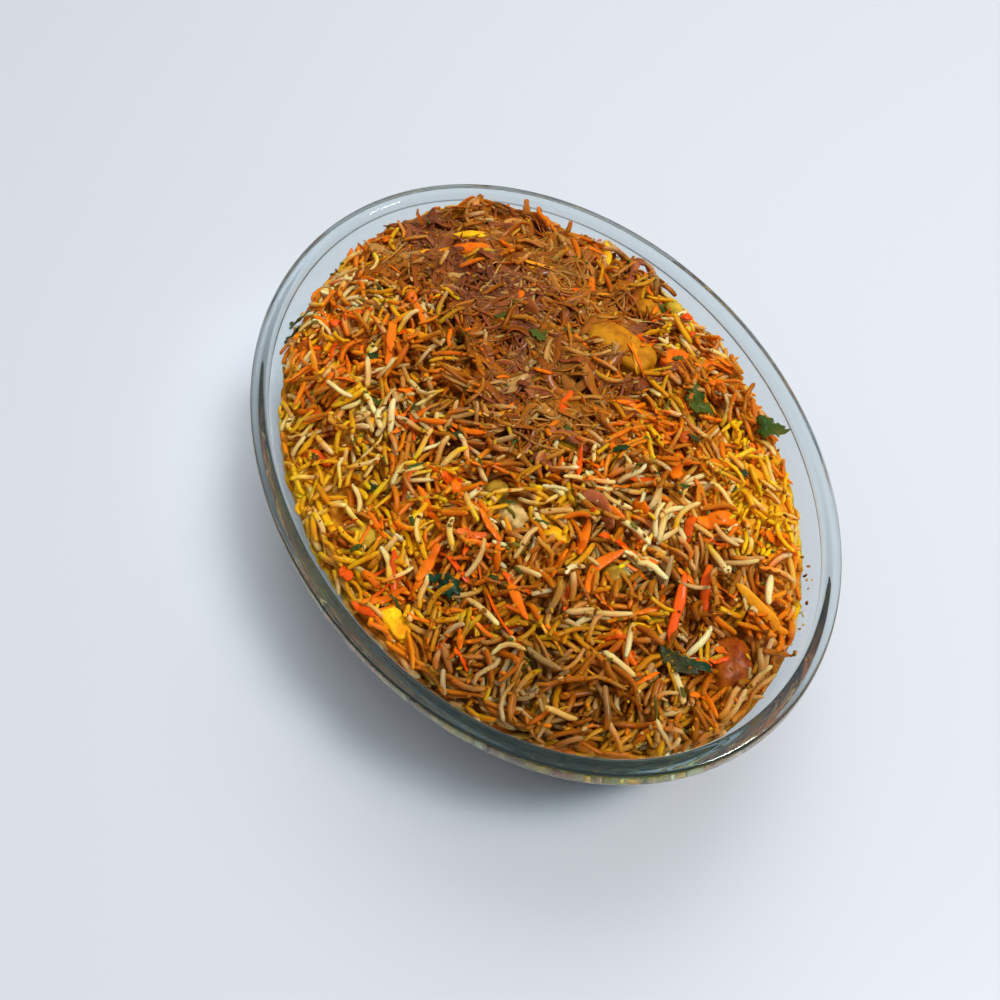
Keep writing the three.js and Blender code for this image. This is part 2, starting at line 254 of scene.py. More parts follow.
# %% [markdown]
# ## The camera, the floor and the light
#
# The camera looks down at the near end of the dish from about 55 degrees. The main lamp stands
# high at the near right, which puts the shadow's edge at the far left. A very wide one behind
# the dish on its right, like a window, softly darkens the floor at the near left. A bright
# ceiling lies over a darker horizon. The dark horizon matters for the glass: a clear edge is
# only seen by the dark and bright lines that it bends.

# %% Camera
CAMERA_AT = (234.54, -109.48, 380.0)
CAMERA_RIGHT = (0.38476, 0.92302, 0.0)
CAMERA_UP = (-0.75144, 0.31324, 0.58070)
FOCAL_PIXELS, FRAME_PIXELS = 1207.0, 1000.0

scene = bpy.context.scene
camera = bpy.data.objects.new("camera", bpy.data.cameras.new("camera"))
scene.collection.objects.link(camera)
scene.camera = camera
camera.data.sensor_width = 36.0
camera.data.lens = camera.data.sensor_width * FOCAL_PIXELS / FRAME_PIXELS
camera.data.clip_start = 0.01
backward = np.cross(CAMERA_RIGHT, CAMERA_UP)
turned = np.eye(4)
turned[:3, :3] = np.stack([CAMERA_RIGHT, CAMERA_UP, backward], axis=1)
turned[:3, 3] = np.array(CAMERA_AT) * MM
camera.matrix_world = Matrix(turned.tolist())
scene.view_settings.view_transform = "Standard"
print(f"lens {camera.data.lens:.1f} mm")

# %% Floor
FLOOR_REACH = 4000.0
FLOOR_DROP = 0.3

floor_finish = Finish("pale_floor")
floor_finish.shade(base_color=rgb(193, 200, 211), roughness=0.35)
floor_mesh = bpy.data.meshes.new("floor")
corners = np.array([(-1, -1, 0), (1, -1, 0), (1, 1, 0), (-1, 1, 0)]) * FLOOR_REACH
corners[:, 2] = -FLOOR_DROP
floor_mesh.from_pydata((corners * MM).tolist(), [], [(0, 1, 2, 3)])
floor_mesh.materials.append(floor_finish.material)
floor = bpy.data.objects.new("floor", floor_mesh)
scene.collection.objects.link(floor)


# %% Lamps and sky
def add_lamp(name, at, across, watts, colour, mirrored=False):
    """A square soft lamp at a place in millimetres, facing the middle of the dish."""
    data = bpy.data.lights.new(name, "AREA")
    data.size, data.energy, data.color = across * MM, watts, colour
    lamp = bpy.data.objects.new(name, data)
    lamp.location = np.array(at) * MM
    facing = unit(np.array([0.0, 0.0, RIM]) - np.array(at, float))
    lamp.rotation_mode = "QUATERNION"
    lamp.rotation_quaternion = Vector(facing).to_track_quat("-Z", "Y")
    lamp.visible_transmission = False
    lamp.visible_glossy = mirrored
    scene.collection.objects.link(lamp)


add_lamp("main_lamp", (800, 840, 2000), 480, 40, (1.0, 0.96, 0.9), mirrored=True)
add_lamp("wide_lamp", (-800, 640, 1500), 1300, 15, (1.0, 0.97, 0.93))

SKY_TOP, SKY_SIDE = rgb(244, 242, 240), rgb(96, 102, 108)
SKY_STRENGTH = 0.62
scene.world = bpy.data.worlds.new("studio")
sky = Nodes(scene.world)
direction = sky.node("ShaderNodeTexCoord", {}, {}, "Generated")
upward = sky.node("ShaderNodeSeparateXYZ", {}, {0: direction}, "Z")
background = sky.tree.nodes["Background"].inputs
sky.put(background["Color"], sky.mix(sky.mask(upward, 0.1, 0.75), SKY_SIDE, SKY_TOP))
sky.put(background["Strength"], SKY_STRENGTH)

# %% [markdown]
# ## The glass dish
#
# A pressed glass dish is one profile carried round an oval: up the outside wall, round the
# bead, down the inside and across the floor. Its surface bends light, and its body takes a
# little red out of it, which hardly shows through the thin wall but turns the bead dark
# blue-green. Pressed glass is never quite clear, so a trace of blue-green haze is mixed in. Light
# that runs down inside the wall meets it again and again, which gives the bead its even colour.
# Bent light is slow to follow to the floor, so a shadow ray goes straight through and loses a
# little at each surface.

# %% Profile of the dish
WALL_FLARE = np.radians(20)
WALL_THICK, FLOOR_THICK = 4.5, 5.5
OUTER_CORNER, INNER_CORNER = 14.0, 12.0
BEAD_WIDTH = BEAD_HEIGHT = 6.2
BEAD_OVERHANG = 2.6
BEAD_SQUARENESS = 5.0
DISH_AROUND = 288


def arc(centre, radius_out, radius_up, start, end, steps, power=2.0):
    """Points of an arc in the profile, (out, up): direction / (|cos|^p + |sin|^p)^(1/p)."""
    angle = np.radians(np.linspace(start, end, steps + 1))
    way = np.stack([np.cos(angle), np.sin(angle)], 1)
    way /= (np.abs(way) ** power).sum(1, keepdims=True) ** (1 / power)
    return np.array(centre) + way * [radius_out, radius_up]


def wall_top(depth):
    """Where the leaning wall starts under the bead, depth inside the dish's outer surface."""
    normal = np.array([np.cos(WALL_FLARE), -np.sin(WALL_FLARE)])
    return np.array([-BEAD_OVERHANG, RIM - BEAD_HEIGHT]) - depth * normal


def wall_out(height, depth=WALL_THICK):
    """How far a wall's surface lies beyond the rim (minus is inside it), at a height."""
    out = -BEAD_OVERHANG - depth * np.cos(WALL_FLARE)
    up = RIM - BEAD_HEIGHT + depth * np.sin(WALL_FLARE)
    return out + (height - up) * np.tan(WALL_FLARE)


def corner(depth, floor_height, radius, steps=12):
    """The arc from a flat floor up to a wall that leans out."""
    top = wall_top(depth)
    rise = (floor_height + radius - top[1]) * np.sin(WALL_FLARE)
    out = top[0] + (rise - radius) / np.cos(WALL_FLARE)
    end = -np.degrees(WALL_FLARE)
    return arc((out, floor_height + radius), radius, radius, -90, end, steps)


def on_oval(out, angle, up):
    """Points out from the rim's oval: x = (a + out) cos, y = (b + out) sin, z = up."""
    x, y = (HALF_LENGTH + out) * np.cos(angle), (HALF_WIDTH + out) * np.sin(angle)
    return np.stack([x, y, np.broadcast_to(up, np.shape(x))], -1)


def round_oval(profile, around):
    """Carries a profile of (out, up) round the rim's oval."""
    angle = 2 * np.pi * np.arange(around) / around
    return on_oval(profile[:, 0, None], angle, profile[:, 1, None])[None]


bead_centre = (-BEAD_WIDTH / 2, RIM - BEAD_HEIGHT / 2)
dish_profile = np.concatenate([
    corner(0, 0, OUTER_CORNER),
    [wall_top(0)],
    arc(bead_centre, BEAD_WIDTH / 2, BEAD_HEIGHT / 2, -60, 200, 40, BEAD_SQUARENESS),
    [wall_top(WALL_THICK)],
    corner(WALL_THICK, FLOOR_THICK, INNER_CORNER)[::-1],
])

# %% Glass
HAZE_SHARE, TINT_DENSITY = 0.035, 46.0
glass = Finish("clear_glass")
glass.shade(base_color=(1.0, 1.0, 1.0), roughness=0.0, ior=1.5, transmission_weight=1.0)
clear = Value(glass, glass.shader.outputs[0])
haze = glass.node("ShaderNodeBsdfDiffuse", {}, {"Color": (0.1, 0.3, 0.37)})
hazy = glass.node("ShaderNodeMixShader", {}, {0: HAZE_SHARE, 1: clear, 2: haze})
straight = glass.node("ShaderNodeBsdfTransparent", {}, {"Color": (0.9, 0.91, 0.92)})
shadow_ray = glass.node("ShaderNodeLightPath", {}, {}, "Is Shadow Ray")
whole = glass.node("ShaderNodeMixShader", {}, {0: shadow_ray, 1: hazy, 2: straight})
tinted = glass.node("ShaderNodeVolumeAbsorption", {}, {"Color": (0.25, 0.5, 0.55),
                                                       "Density": TINT_DENSITY})
outlet = glass.tree.nodes["Material Output"].inputs
glass.put(outlet["Surface"], whole)
glass.put(outlet["Volume"], tinted)
add_piece("glass_dish_smooth", round_oval(dish_profile, DISH_AROUND), glass.material,
          stands_for=["glass_dish"])

# %% [markdown]
# ## The shape of the heap
#
# The heap fills the dish and swells to a little over the rim. Its height is a formula of x and
# y: an edge that rises and dips along the glass, a dome from that edge up to the crown, a
# ridge under the onions and the slow lumps that a spoon leaves. The same formula shapes the
# solid heap in the fixed model, so the grains lie where that solid is.

# %% Height of the heap
EDGE_LEVEL, CROWN, SHOULDER = -9.5, 3.0, 3.0
EDGE_OUT = wall_out(RIM + EDGE_LEVEL)
HEAP_LENGTH, HEAP_WIDTH = HALF_LENGTH + EDGE_OUT, HALF_WIDTH + EDGE_OUT
EDGE_SWELLS = [(158, 28, 6), (-80, 28, 3), (45, 30, -4), (16, 16, -6), (-150, 30, -1.5)]
RIDGE_AT, RIDGE_REACH, RIDGE_HEIGHT = (-55, 15), (40, 35), 4.0


def edge_height(bearing):
    """The edge's height round the glass: its level plus a bell curve for each swell."""
    height = RIM + EDGE_LEVEL
    for centre, reach, rise in EDGE_SWELLS:
        away = (bearing - centre + 180) % 360 - 180
        height = height + rise * np.exp(-((away / reach) ** 2))
    return height


def bell(x, y, at, reach):
    """1 at a place, falling away as a bell curve with its own reach along x and along y."""
    return np.exp(-(((x - at[0]) / reach[0]) ** 2) - ((y - at[1]) / reach[1]) ** 2)


def way_out(x, y):
    """0 in the middle of the heap, 1 at its edge."""
    return np.hypot(x / HEAP_LENGTH, y / HEAP_WIDTH)


def heap(x, y):
    """Crown height, falling to the edge with the third power of the way there, plus lumps."""
    share = np.minimum(1, way_out(x, y))
    edge = edge_height(np.degrees(np.arctan2(y / HEAP_WIDTH, x / HEAP_LENGTH)))
    dome = RIM + CROWN + (edge - RIM - CROWN) * share**SHOULDER
    lumps = (1.3 * np.sin(x / 17 + 0.4) * np.cos(y / 14 - 0.7)
             + 0.9 * np.sin(x / 8.5 - y / 11 + 1.1) + 0.6 * np.cos(x / 6 + y / 7.5))
    ridge = RIDGE_HEIGHT * bell(x, y, RIDGE_AT, RIDGE_REACH)
    return dome + (ridge + lumps) * (1 - share**4)


print(f"heap stands {heap(*map(float, RIDGE_AT)) - RIM:.1f} mm over the rim")

# %% Patches by place
def soft_noise(patch, seed):
    """A smooth random field, 0 to 1: values on a square grid, blended by t^2 (3 - 2 t)."""
    size = 128
    values = np.random.default_rng(seed).uniform(0, 1, (size, size))

    def field(x, y):
        gx, gy = (np.asarray(x) + 200) / patch, (np.asarray(y) + 200) / patch
        i, j = gx.astype(int), gy.astype(int)
        s, t = gx - i, gy - j
        s, t = s * s * (3 - 2 * s), t * t * (3 - 2 * t)
        i, j, k, m = i % size, j % size, (i + 1) % size, (j + 1) % size
        near = values[i, j] * (1 - t) + values[i, m] * t
        far = values[k, j] * (1 - t) + values[k, m] * t
        return np.clip(0.5 + 1.5 * (near * (1 - s) + far * s - 0.5), 0, 0.999)

    return field


# %% [markdown]
# ## The rice under the grains
#
# Grains all the way down would be wasted, because nobody sees them. A core of packed rice and
# masala paste fills the dish up to a few millimetres under the top. Low down it reaches just
# into the glass, since moist rice lies against a wall with no air between. Its top is knobbly,
# and the grains lie half sunk in it, because paste fills the gaps of a real biryani.

# %% Core
FILL_DEPTH, SOFT_RISE = 2.8, 1.4
SOFT_PLACES = [((52, 58), (24, 20)), ((-10, -74), (36, 12)), ((-84, -38), (24, 22))]
WALL_BITE = 0.2
RIM_GAP, GAP_FROM = 0.75, 14.0
CORE_AROUND, CORE_COVER_RINGS = 360, 84
knob_field, crumb_field = soft_noise(3.6, 2), soft_noise(1.8, 3)


def core_top(x, y):
    """The core's top: the heap less a depth, with knobs 4 mm across and crumbs on them.

    The depth is FILL_DEPTH, less where the rice is mushy and less close to the glass.
    """
    soft = np.minimum(1, sum(bell(x, y, at, reach) for at, reach in SOFT_PLACES))
    depth = (FILL_DEPTH - SOFT_RISE * soft) * np.clip((1 - way_out(x, y)) / 0.04, 0.45, 1)
    return heap(x, y) - depth + 1.9 * (knob_field(x, y) - 0.5) + 0.9 * (crumb_field(x, y) - 0.5)


def wall_bite(height):
    """How far the rice reaches into the glass: all of it low down, drawn back near the rim."""
    share = np.clip((height - GAP_FROM) / 6, 0, 1)
    return WALL_BITE * (1 - share) - RIM_GAP * share


def core_rings():
    """Across the floor, up the wall to the heap's edge, then inwards under the heap's top."""
    low = corner(WALL_THICK - WALL_BITE, FLOOR_THICK - WALL_BITE, INNER_CORNER + WALL_BITE, 8)
    angle = 2 * np.pi * np.arange(CORE_AROUND) / CORE_AROUND
    below = round_oval(low, CORE_AROUND)[0]
    top = edge_height(np.degrees(angle)) - 1.2
    wall_heights = low[-1, 1] + np.linspace(0, 1, 11)[1:, None] * (top - low[-1, 1])
    out = wall_out(wall_heights, WALL_THICK - wall_bite(wall_heights))
    wall = on_oval(out, angle, wall_heights)
    share = np.linspace(0.985, 0.01, CORE_COVER_RINGS)[:, None]
    x, y = share * HEAP_LENGTH * np.cos(angle), share * HEAP_WIDTH * np.sin(angle)
    cover = np.stack([x, y, core_top(x, y)], -1)
    return np.concatenate([below, wall, cover])[None]


# %% [markdown]
# ## A map of heights
#
# Everything that is laid on the heap rests on what lies there already. The map holds the
# height of the top of things on a grid of half-millimetre cells. A straight thing such as a
# grain comes to rest on the two places that hold it up, one on each side of its middle. A soft
# thing such as a slice of onion sags along what is under it.


# %% The map
class Pile:
    """The height of everything laid so far, on a grid of small cells."""

    CELL = 0.5

    def __init__(self):
        half = np.array([HALF_LENGTH, HALF_WIDTH])
        self.low = -half
        self.count = (2 * half / self.CELL).astype(int) + 1
        x, y = np.meshgrid(*(np.arange(n) * self.CELL - h for n, h in zip(self.count, half)),
                           indexing="ij")
        self.top = core_top(x, y)
        self.shown = np.zeros(self.top.shape, bool)

    def cells(self, x, y):
        at = (np.stack([x, y]) - self.low.reshape(2, *[1] * np.ndim(x))) / self.CELL
        last = (self.count - 1).reshape(2, *[1] * np.ndim(x))
        return tuple(np.clip(np.rint(at).astype(int), 0, last))

    def height(self, x, y):
        return self.top[self.cells(x, y)]

    def cover(self, x, y, z):
        """Raises the map to the height z wherever it is lower."""
        np.maximum.at(self.top, self.cells(x, y), z)

    def keep_shown(self, x, y, z):
        """Marks the cells under places that stand out of the heap, so little is laid there."""
        out = z > heap(x, y) + 1.2
        self.shown[self.cells(x[out], y[out])] = True

    def hides(self, x, y):
        """Whether a thing that covers these places would hide a piece that is to be seen."""
        return self.shown[self.cells(x, y)].mean() > 0.3

    def rest(self, x, y, bearing, half_length):
        """Middle height and slope of a stick's underside, held up on both sides of its middle.

        For every pair of places, one before the middle and one after it, the line through
        their tops crosses the middle at some height. The highest such line holds the stick.
        """
        s = np.linspace(-half_length, half_length, 9)
        tops = self.height(x + s * np.cos(bearing), y + s * np.sin(bearing))
        before, after = s[:4, None], s[None, 5:]
        low, high = tops[:4, None], tops[None, 5:]
        middle = (low * after - high * before) / (after - before)
        i, j = np.unravel_index(np.argmax(middle), middle.shape)
        slope = (high[0, j] - low[i, 0]) / (after[0, j] - before[i, 0])
        return max(middle[i, j], tops[4] - 0.3), np.clip(slope, -0.6, 0.6)

    def cover_stick(self, middle, along, half_length, half_width, half_thick):
        """Raises the map under a stick, round across its width."""
        s = np.linspace(-half_length, half_length, int(half_length / self.CELL) * 2 + 1)[:, None]
        w = np.linspace(-half_width, half_width, 5)[None]
        x = middle[0] + s * along[0] - w * along[1]
        y = middle[1] + s * along[1] + w * along[0]
        z = middle[2] + s * along[2] + half_thick * np.sqrt(1 - (w / half_width) ** 2 * 0.8)
        self.cover(x, y, np.broadcast_to(z, x.shape))


def inside(x, y, z, margin):
    """Whether a place is inside the inner wall, with a margin to spare."""
    out = np.minimum(wall_out(z), -BEAD_WIDTH) - margin
    return (x / (HALF_LENGTH + out)) ** 2 + (y / (HALF_WIDTH + out)) ** 2 < 1


pile = Pile()
rng = np.random.default_rng(31)
print(f"map of {pile.count[0]} x {pile.count[1]} cells")


def scatter(half_length, half_width, reach=1.0, number=None):
    """Random places, evenly over an oval: x = a s cos t, y = b s sin t with s^2 from 0 to reach."""
    angle, share = rng.uniform(0, 2 * np.pi, number), np.sqrt(rng.uniform(0, reach, number))
    return half_length * share * np.cos(angle), half_width * share * np.sin(angle)


# %% [markdown]
# ## Finishes of cooked food
#
# Everything in a biryani has been steamed together, so one function builds one look for it: its
# own colour, an orange-brown bath of masala that comes and goes in patches, fine specks of spice
# and a little oil. The patches are read from the place in the dish and not from each piece, so a
# patch runs on from a grain to the carrot beside it, as the real stain does. Oil is kept thin,
# because too much gloss turns rice into plastic.


# %% Cooked finish
BATH = rgb(204, 108, 8)
STAIN = rgb(166, 88, 6)
SPECK = rgb(66, 32, 6)


def cooked(name, pale=None, deep=None, patch=6.0, bath=0.3, relief=0.2, rough=0.46, coat=0.1,
           soft=0.25, specks=0.5, stain=0.0):
    """Patches from pale to deep, the bath in larger patches, stains, specks, relief and oil.

    Without pale the colour is the piece's own tint.
    """
    finish = Finish(name)
    if pale is None:
        own = finish.node("ShaderNodeAttribute", {"attribute_name": "tint"}, {})
    else:
        own = finish.mix(finish.mask(finish.noise(patch), 0.36, 0.64), pale, deep)
    bathed = finish.mask(finish.noise(17, 3.0), 0.42, 0.66) * bath
    colour = finish.mix(bathed, own, BATH)
    if stain:
        stained = finish.mask(finish.noise(4.5, 2.0), 0.4, 0.62) * stain
        colour = finish.mix(stained, colour, STAIN)
    spots = finish.mask(finish.noise(1.2, 2.0), 0.66, 0.74) * specks
    colour = finish.mix(spots, colour, SPECK)
    fine = finish.noise(1.6)
    finish.shade(
        base_color=colour,
        roughness=rough + 0.24 * fine,
        specular_ior_level=0.08,
        coat_weight=coat,
        coat_roughness=0.2,
        subsurface_weight=soft,
        subsurface_radius=(1.0, 0.45, 0.15),
        subsurface_scale=0.005,
        normal=finish.bump(fine, relief),
    )
    return finish.material


FINISHES = {
    "potato": cooked("boiled_potato", rgb(188, 128, 16), rgb(150, 90, 8), 4, 0.25, 0.3, 0.4),
    "pea": cooked("cooked_pea", rgb(166, 146, 48), rgb(124, 98, 24), 3.5, 0.3, 0.2),
    "carrot": cooked("cooked_carrot", rgb(232, 116, 10), rgb(212, 90, 6), 4, 0.2, 0.3, soft=0.1),
    "pepper": cooked("yellow_pepper", rgb(246, 200, 24), rgb(230, 152, 12), 6, 0.2, 0.1, 0.36),
    "onion": cooked("soft_onion", rgb(208, 146, 70), rgb(160, 92, 34), 5, 0.3, 0.25, 0.34, 0.2),
    "curl": cooked("browned_onion", rgb(160, 92, 58), rgb(118, 58, 34), 4, 0.2, 0.25, 0.32, 0.2),
    "floret": cooked("cauliflower", rgb(206, 178, 116), rgb(158, 122, 62), 3, 0.3, 0.5),
    "tomato": cooked("cooked_tomato", rgb(146, 62, 14), rgb(98, 38, 10), 3, 0.3, 0.6, 0.4, 0.05,
                     stain=0.5),
    "cabbage": cooked("cabbage_leaf", rgb(206, 172, 50), rgb(148, 128, 30), 5, 0.3, 0.3),
}

# %% [markdown]
# ## Pieces of vegetable
#
# Lumps are rounded blocks. A rounded block is a ball whose points are pushed out to where the
# powers of x, y and z add up to one: power 2 gives an egg, and a higher power gives a diced
# cube with soft corners. Slow waves make each lump uneven. Strips use the carried oval.

# %% Lumps
LUMP_AROUND, LUMP_UP = 48, 26
STRIP_AROUND, STRIP_RINGS = 16, 24


def lump(at, half, turn, tip, power, dent, knobs=0.0):
    """A rounded block with waves: direction / (|x|^p + |y|^p + |z|^p)^(1/p), times half sizes."""
    rise = np.pi * (np.arange(1, LUMP_UP) / LUMP_UP - 0.5)[:, None]
    angle = 2 * np.pi * np.arange(LUMP_AROUND)[None] / LUMP_AROUND
    d = np.stack([np.cos(rise) * np.cos(angle), np.cos(rise) * np.sin(angle),
                  np.sin(rise) + 0 * angle], -1)
    reach = (np.abs(d) ** power).sum(-1) ** (-1 / power)
    waves = np.sin(3 * angle + at[0]) * np.cos(2 * rise) + np.cos(2 * angle - at[1])
    middling = np.sin(6 * d[..., 0] + at[0]) * np.cos(5 * d[..., 1] + at[1])
    middling = middling * np.cos(7 * d[..., 2] + at[0] * at[1])
    small = np.sin(15 * d[..., 0] + at[1]) * np.sin(15 * d[..., 1]) * np.cos(12 * d[..., 2])
    swell = 1 + (dent * (waves + 1.4 * middling) + (0.4 * dent + knobs) * small) * np.cos(rise)
    points = d * (reach * swell)[..., None] * half
    turn, tip = np.radians(turn), np.radians(tip)
    tipped = np.array([[np.cos(tip), 0, np.sin(tip)], [0, 1, 0], [-np.sin(tip), 0, np.cos(tip)]])
    turned = np.array([[np.cos(turn), -np.sin(turn), 0], [np.sin(turn), np.cos(turn), 0],
                       [0, 0, 1]])
    middle = np.array([at[0], at[1], heap(at[0], at[1]) + at[2]])
    return (points @ (turned @ tipped).T + middle)[None]


def strip(path, width, thick, across=None):
    """An oval carried along a soft curve, narrower and rounded at its ends."""
    path = np.array(path, float)
    path[:, 2] += heap(path[:, 0], path[:, 1])
    line = smooth_path(path, STRIP_RINGS)[None]
    end = np.abs(np.linspace(-1, 1, STRIP_RINGS))
    taper = np.sqrt(1 - (0.97 * end) ** 8) * (1 - 0.3 * end**4)
    side = np.cross([0, 0, 1.0], np.gradient(line, axis=1)) if across is None else [[across]]
    ripple = 1 + 0.07 * np.sin(np.arange(STRIP_RINGS) * 0.9 + path[0, 0])
    return carry(line, side, width / 2 * taper * ripple, thick / 2 * taper, STRIP_AROUND)


# %% Every piece as large as a berry
# Each piece: name, kind and shape. Then a lump has its place, half sizes, turn, tip, power, dent
# and knobs, and a strip its path, width, thickness and side direction.
TOPPINGS = [
    ("potato_wedge", "potato", lump, (-20, 43, -2.4), (13.5, 6.8, 5.4), 28, 4, 4, 0.035),
    ("potato_small", "potato", lump, (-36, 62, 0.4), (5.4, 3.8, 3.2), 35, 0, 3.4, 0.09),
    ("pea_back", "pea", lump, (22, -22, 0.6), (4, 4, 3.8), 0, 0, 2.0, 0.02),
    ("pea_front", "pea", lump, (66, -1, 0.8), (4.5, 4.5, 4.2), 0, 0, 2.0, 0.02),
    ("cauliflower_floret", "floret", lump,
     (34, -21.5, 0.6), (5.6, 4.2, 3.8), 30, 0, 2.4, 0.07, 0.12),
    ("carrot_slice", "carrot", strip, [(-89, 5, 0.8), (-84, 12, 1.5), (-81, 19, 0.9)], 5.6, 3),
    ("carrot_piece", "carrot", lump, (-8, 59, 0.6), (5, 4, 2.4), 40, 0, 4, 0.07),
    ("pepper_back", "pepper", strip, [(-96, 8, 1.6), (-92, 15, 2.4), (-88, 21, 1.6)], 3.4, 2),
    ("pepper_stub", "pepper", strip, [(25, -8.5, 0.9), (29, -10.5, 1.5), (33, -12.5, 1)], 3.4, 2.2),
    ("pepper_wedge", "pepper", strip,
     [(41, -16, 0.9), (45, -12.5, 1.5), (49.5, -8.5, 0.8)], 4.6, 2.2),
    ("pepper_curve", "pepper", strip,
     [(84, -7.5, 0.8), (83, -1.5, 2), (85.5, 3, 1.6), (90, 5, 0.4)], 3, 2),
    ("pepper_chunk", "pepper", lump, (52, -68, 0.3), (5.6, 3.2, 2.4), 8, 8, 4, 0.1),
    ("pepper_sliver", "pepper", strip, [(-3, -76, 0.9), (6, -76, 1.2), (15, -75, 0.8)], 2.6, 2.6),
    ("pepper_upright", "pepper", strip,
     [(-64, 59, 0.4), (-68.5, 61.5, 3.4), (-72.5, 63.5, 7.4)], 3.6, 1.8, (0.4, 1, 0)),
    ("onion_petal_far", "onion", lump, (-94, 34, 1.2), (6, 4.4, 1.7), 35, -8, 2.6, 0.04),
    ("onion_petal_top", "onion", lump, (-112.5, 24.5, 3), (2.4, 4.8, 2.4), 10, 20, 2.0, 0.05),
    ("onion_petal_left", "onion", strip,
     [(-79, -36, 0.8), (-75, -29, 2.2), (-75, -22, 0.8)], 6, 1.8),
    ("onion_petal_right", "onion", lump, (99, 34.5, 3.4), (2, 4.6, 2), -35, 10, 2.4, 0.05),
    ("onion_curl_right", "onion", strip,
     [(-16, 73, 1.2), (-11, 72.5, 2.6), (-8, 74.5, 5.4), (-9.5, 77, 7), (-13, 78.5, 7)], 4, 1.6,
     (0.3, -0.4, 0.8)),
    ("onion_curl_back", "curl", strip,
     [(-43, 57, 0.8), (-48.5, 61, 3), (-54, 65.5, 6.2), (-57, 68.5, 8.2), (-55, 72, 8)], 3.2, 1.6,
     (0.5, -0.8, 0)),
    ("tomato_wedge", "tomato", lump, (101, 23, -1.0), (8.6, 6, 4.4), 165, -14, 3, 0.13),
    ("tomato_left", "tomato", lump, (-65, -58.5, 0), (7.4, 4.4, 3.6), 28, 0, 3, 0.11),
    ("tomato_bit", "tomato", lump, (-58, -41, 0), (5.4, 4.4, 2.8), 40, 0, 3, 0.11),
    ("cabbage_left", "cabbage", lump, (19, -66, 0), (5.6, 4.2, 2.4), 80, 0, 3, 0.12),
    ("cabbage_right", "cabbage", lump, (-34, 72.5, 1.8), (4, 2.8, 2.6), 10, 0, 2.6, 0.06),
]

KEPT_IN_SIGHT = ("potato", "pea", "floret", "pepper", "carrot", "cabbage", "curl")


def between(points, steps=5):
    """Rows of points with more rows between them, each an even share of its two neighbours."""
    share = np.arange(steps)[:, None, None] / steps
    return (points[:-1, None] * (1 - share) + points[1:, None] * share).reshape(
        -1, *points.shape[1:])


for name, kind, shape, *form in TOPPINGS:
    rings = shape(*form)
    add_piece(name + "_fine", rings, FINISHES[kind], stands_for=[name])
    close = between(between(rings[0]).swapaxes(0, 1)).reshape(-1, 3)
    pile.cover(*close.T)
    if kind in KEPT_IN_SIGHT or name == "onion_curl_right":
        pile.keep_shown(*close.T)

# %% [markdown]
# ## Grains of rice
#
# A cooked long grain is 12 or 13 mm long, bent, a little flat, with tapered ends. With
# thousands of them each has to be cheap, so a grain is seven rings of six points. The colour
# comes in patches, yellow where the saffron fell and brown where the masala rose, so a grain
# takes its colour from a slow random field and not from a throw of the dice. Grains that lie
# deeper, and grains under the onions, are drawn towards a soaked brown: partly the masala they
# soaked up, partly painted shade. Pale ones are scattered on top.


# %% Colours by place
hue_field, pale_field, light_field = soft_noise(8, 5), soft_noise(15, 6), soft_noise(9, 7)

GRAIN_COLOURS = {
    "yellow": [rgb(232, 170, 16), rgb(220, 156, 12), rgb(240, 186, 22), rgb(210, 152, 20)],
    "orange": [rgb(228, 118, 12), rgb(218, 100, 8), rgb(234, 134, 16), rgb(206, 106, 12)],
    "masala": [rgb(162, 108, 22), rgb(144, 90, 14), rgb(184, 132, 44), rgb(130, 78, 14)],
    "cream": [rgb(224, 188, 124), rgb(208, 166, 100), rgb(238, 208, 152), rgb(196, 150, 80)],
}
KINDS = list(GRAIN_COLOURS)
# Soaked masala brown, which also serves as painted shade for deep grains and for the core.
SOAKED_AND_SHADED = rgb(158, 88, 8)

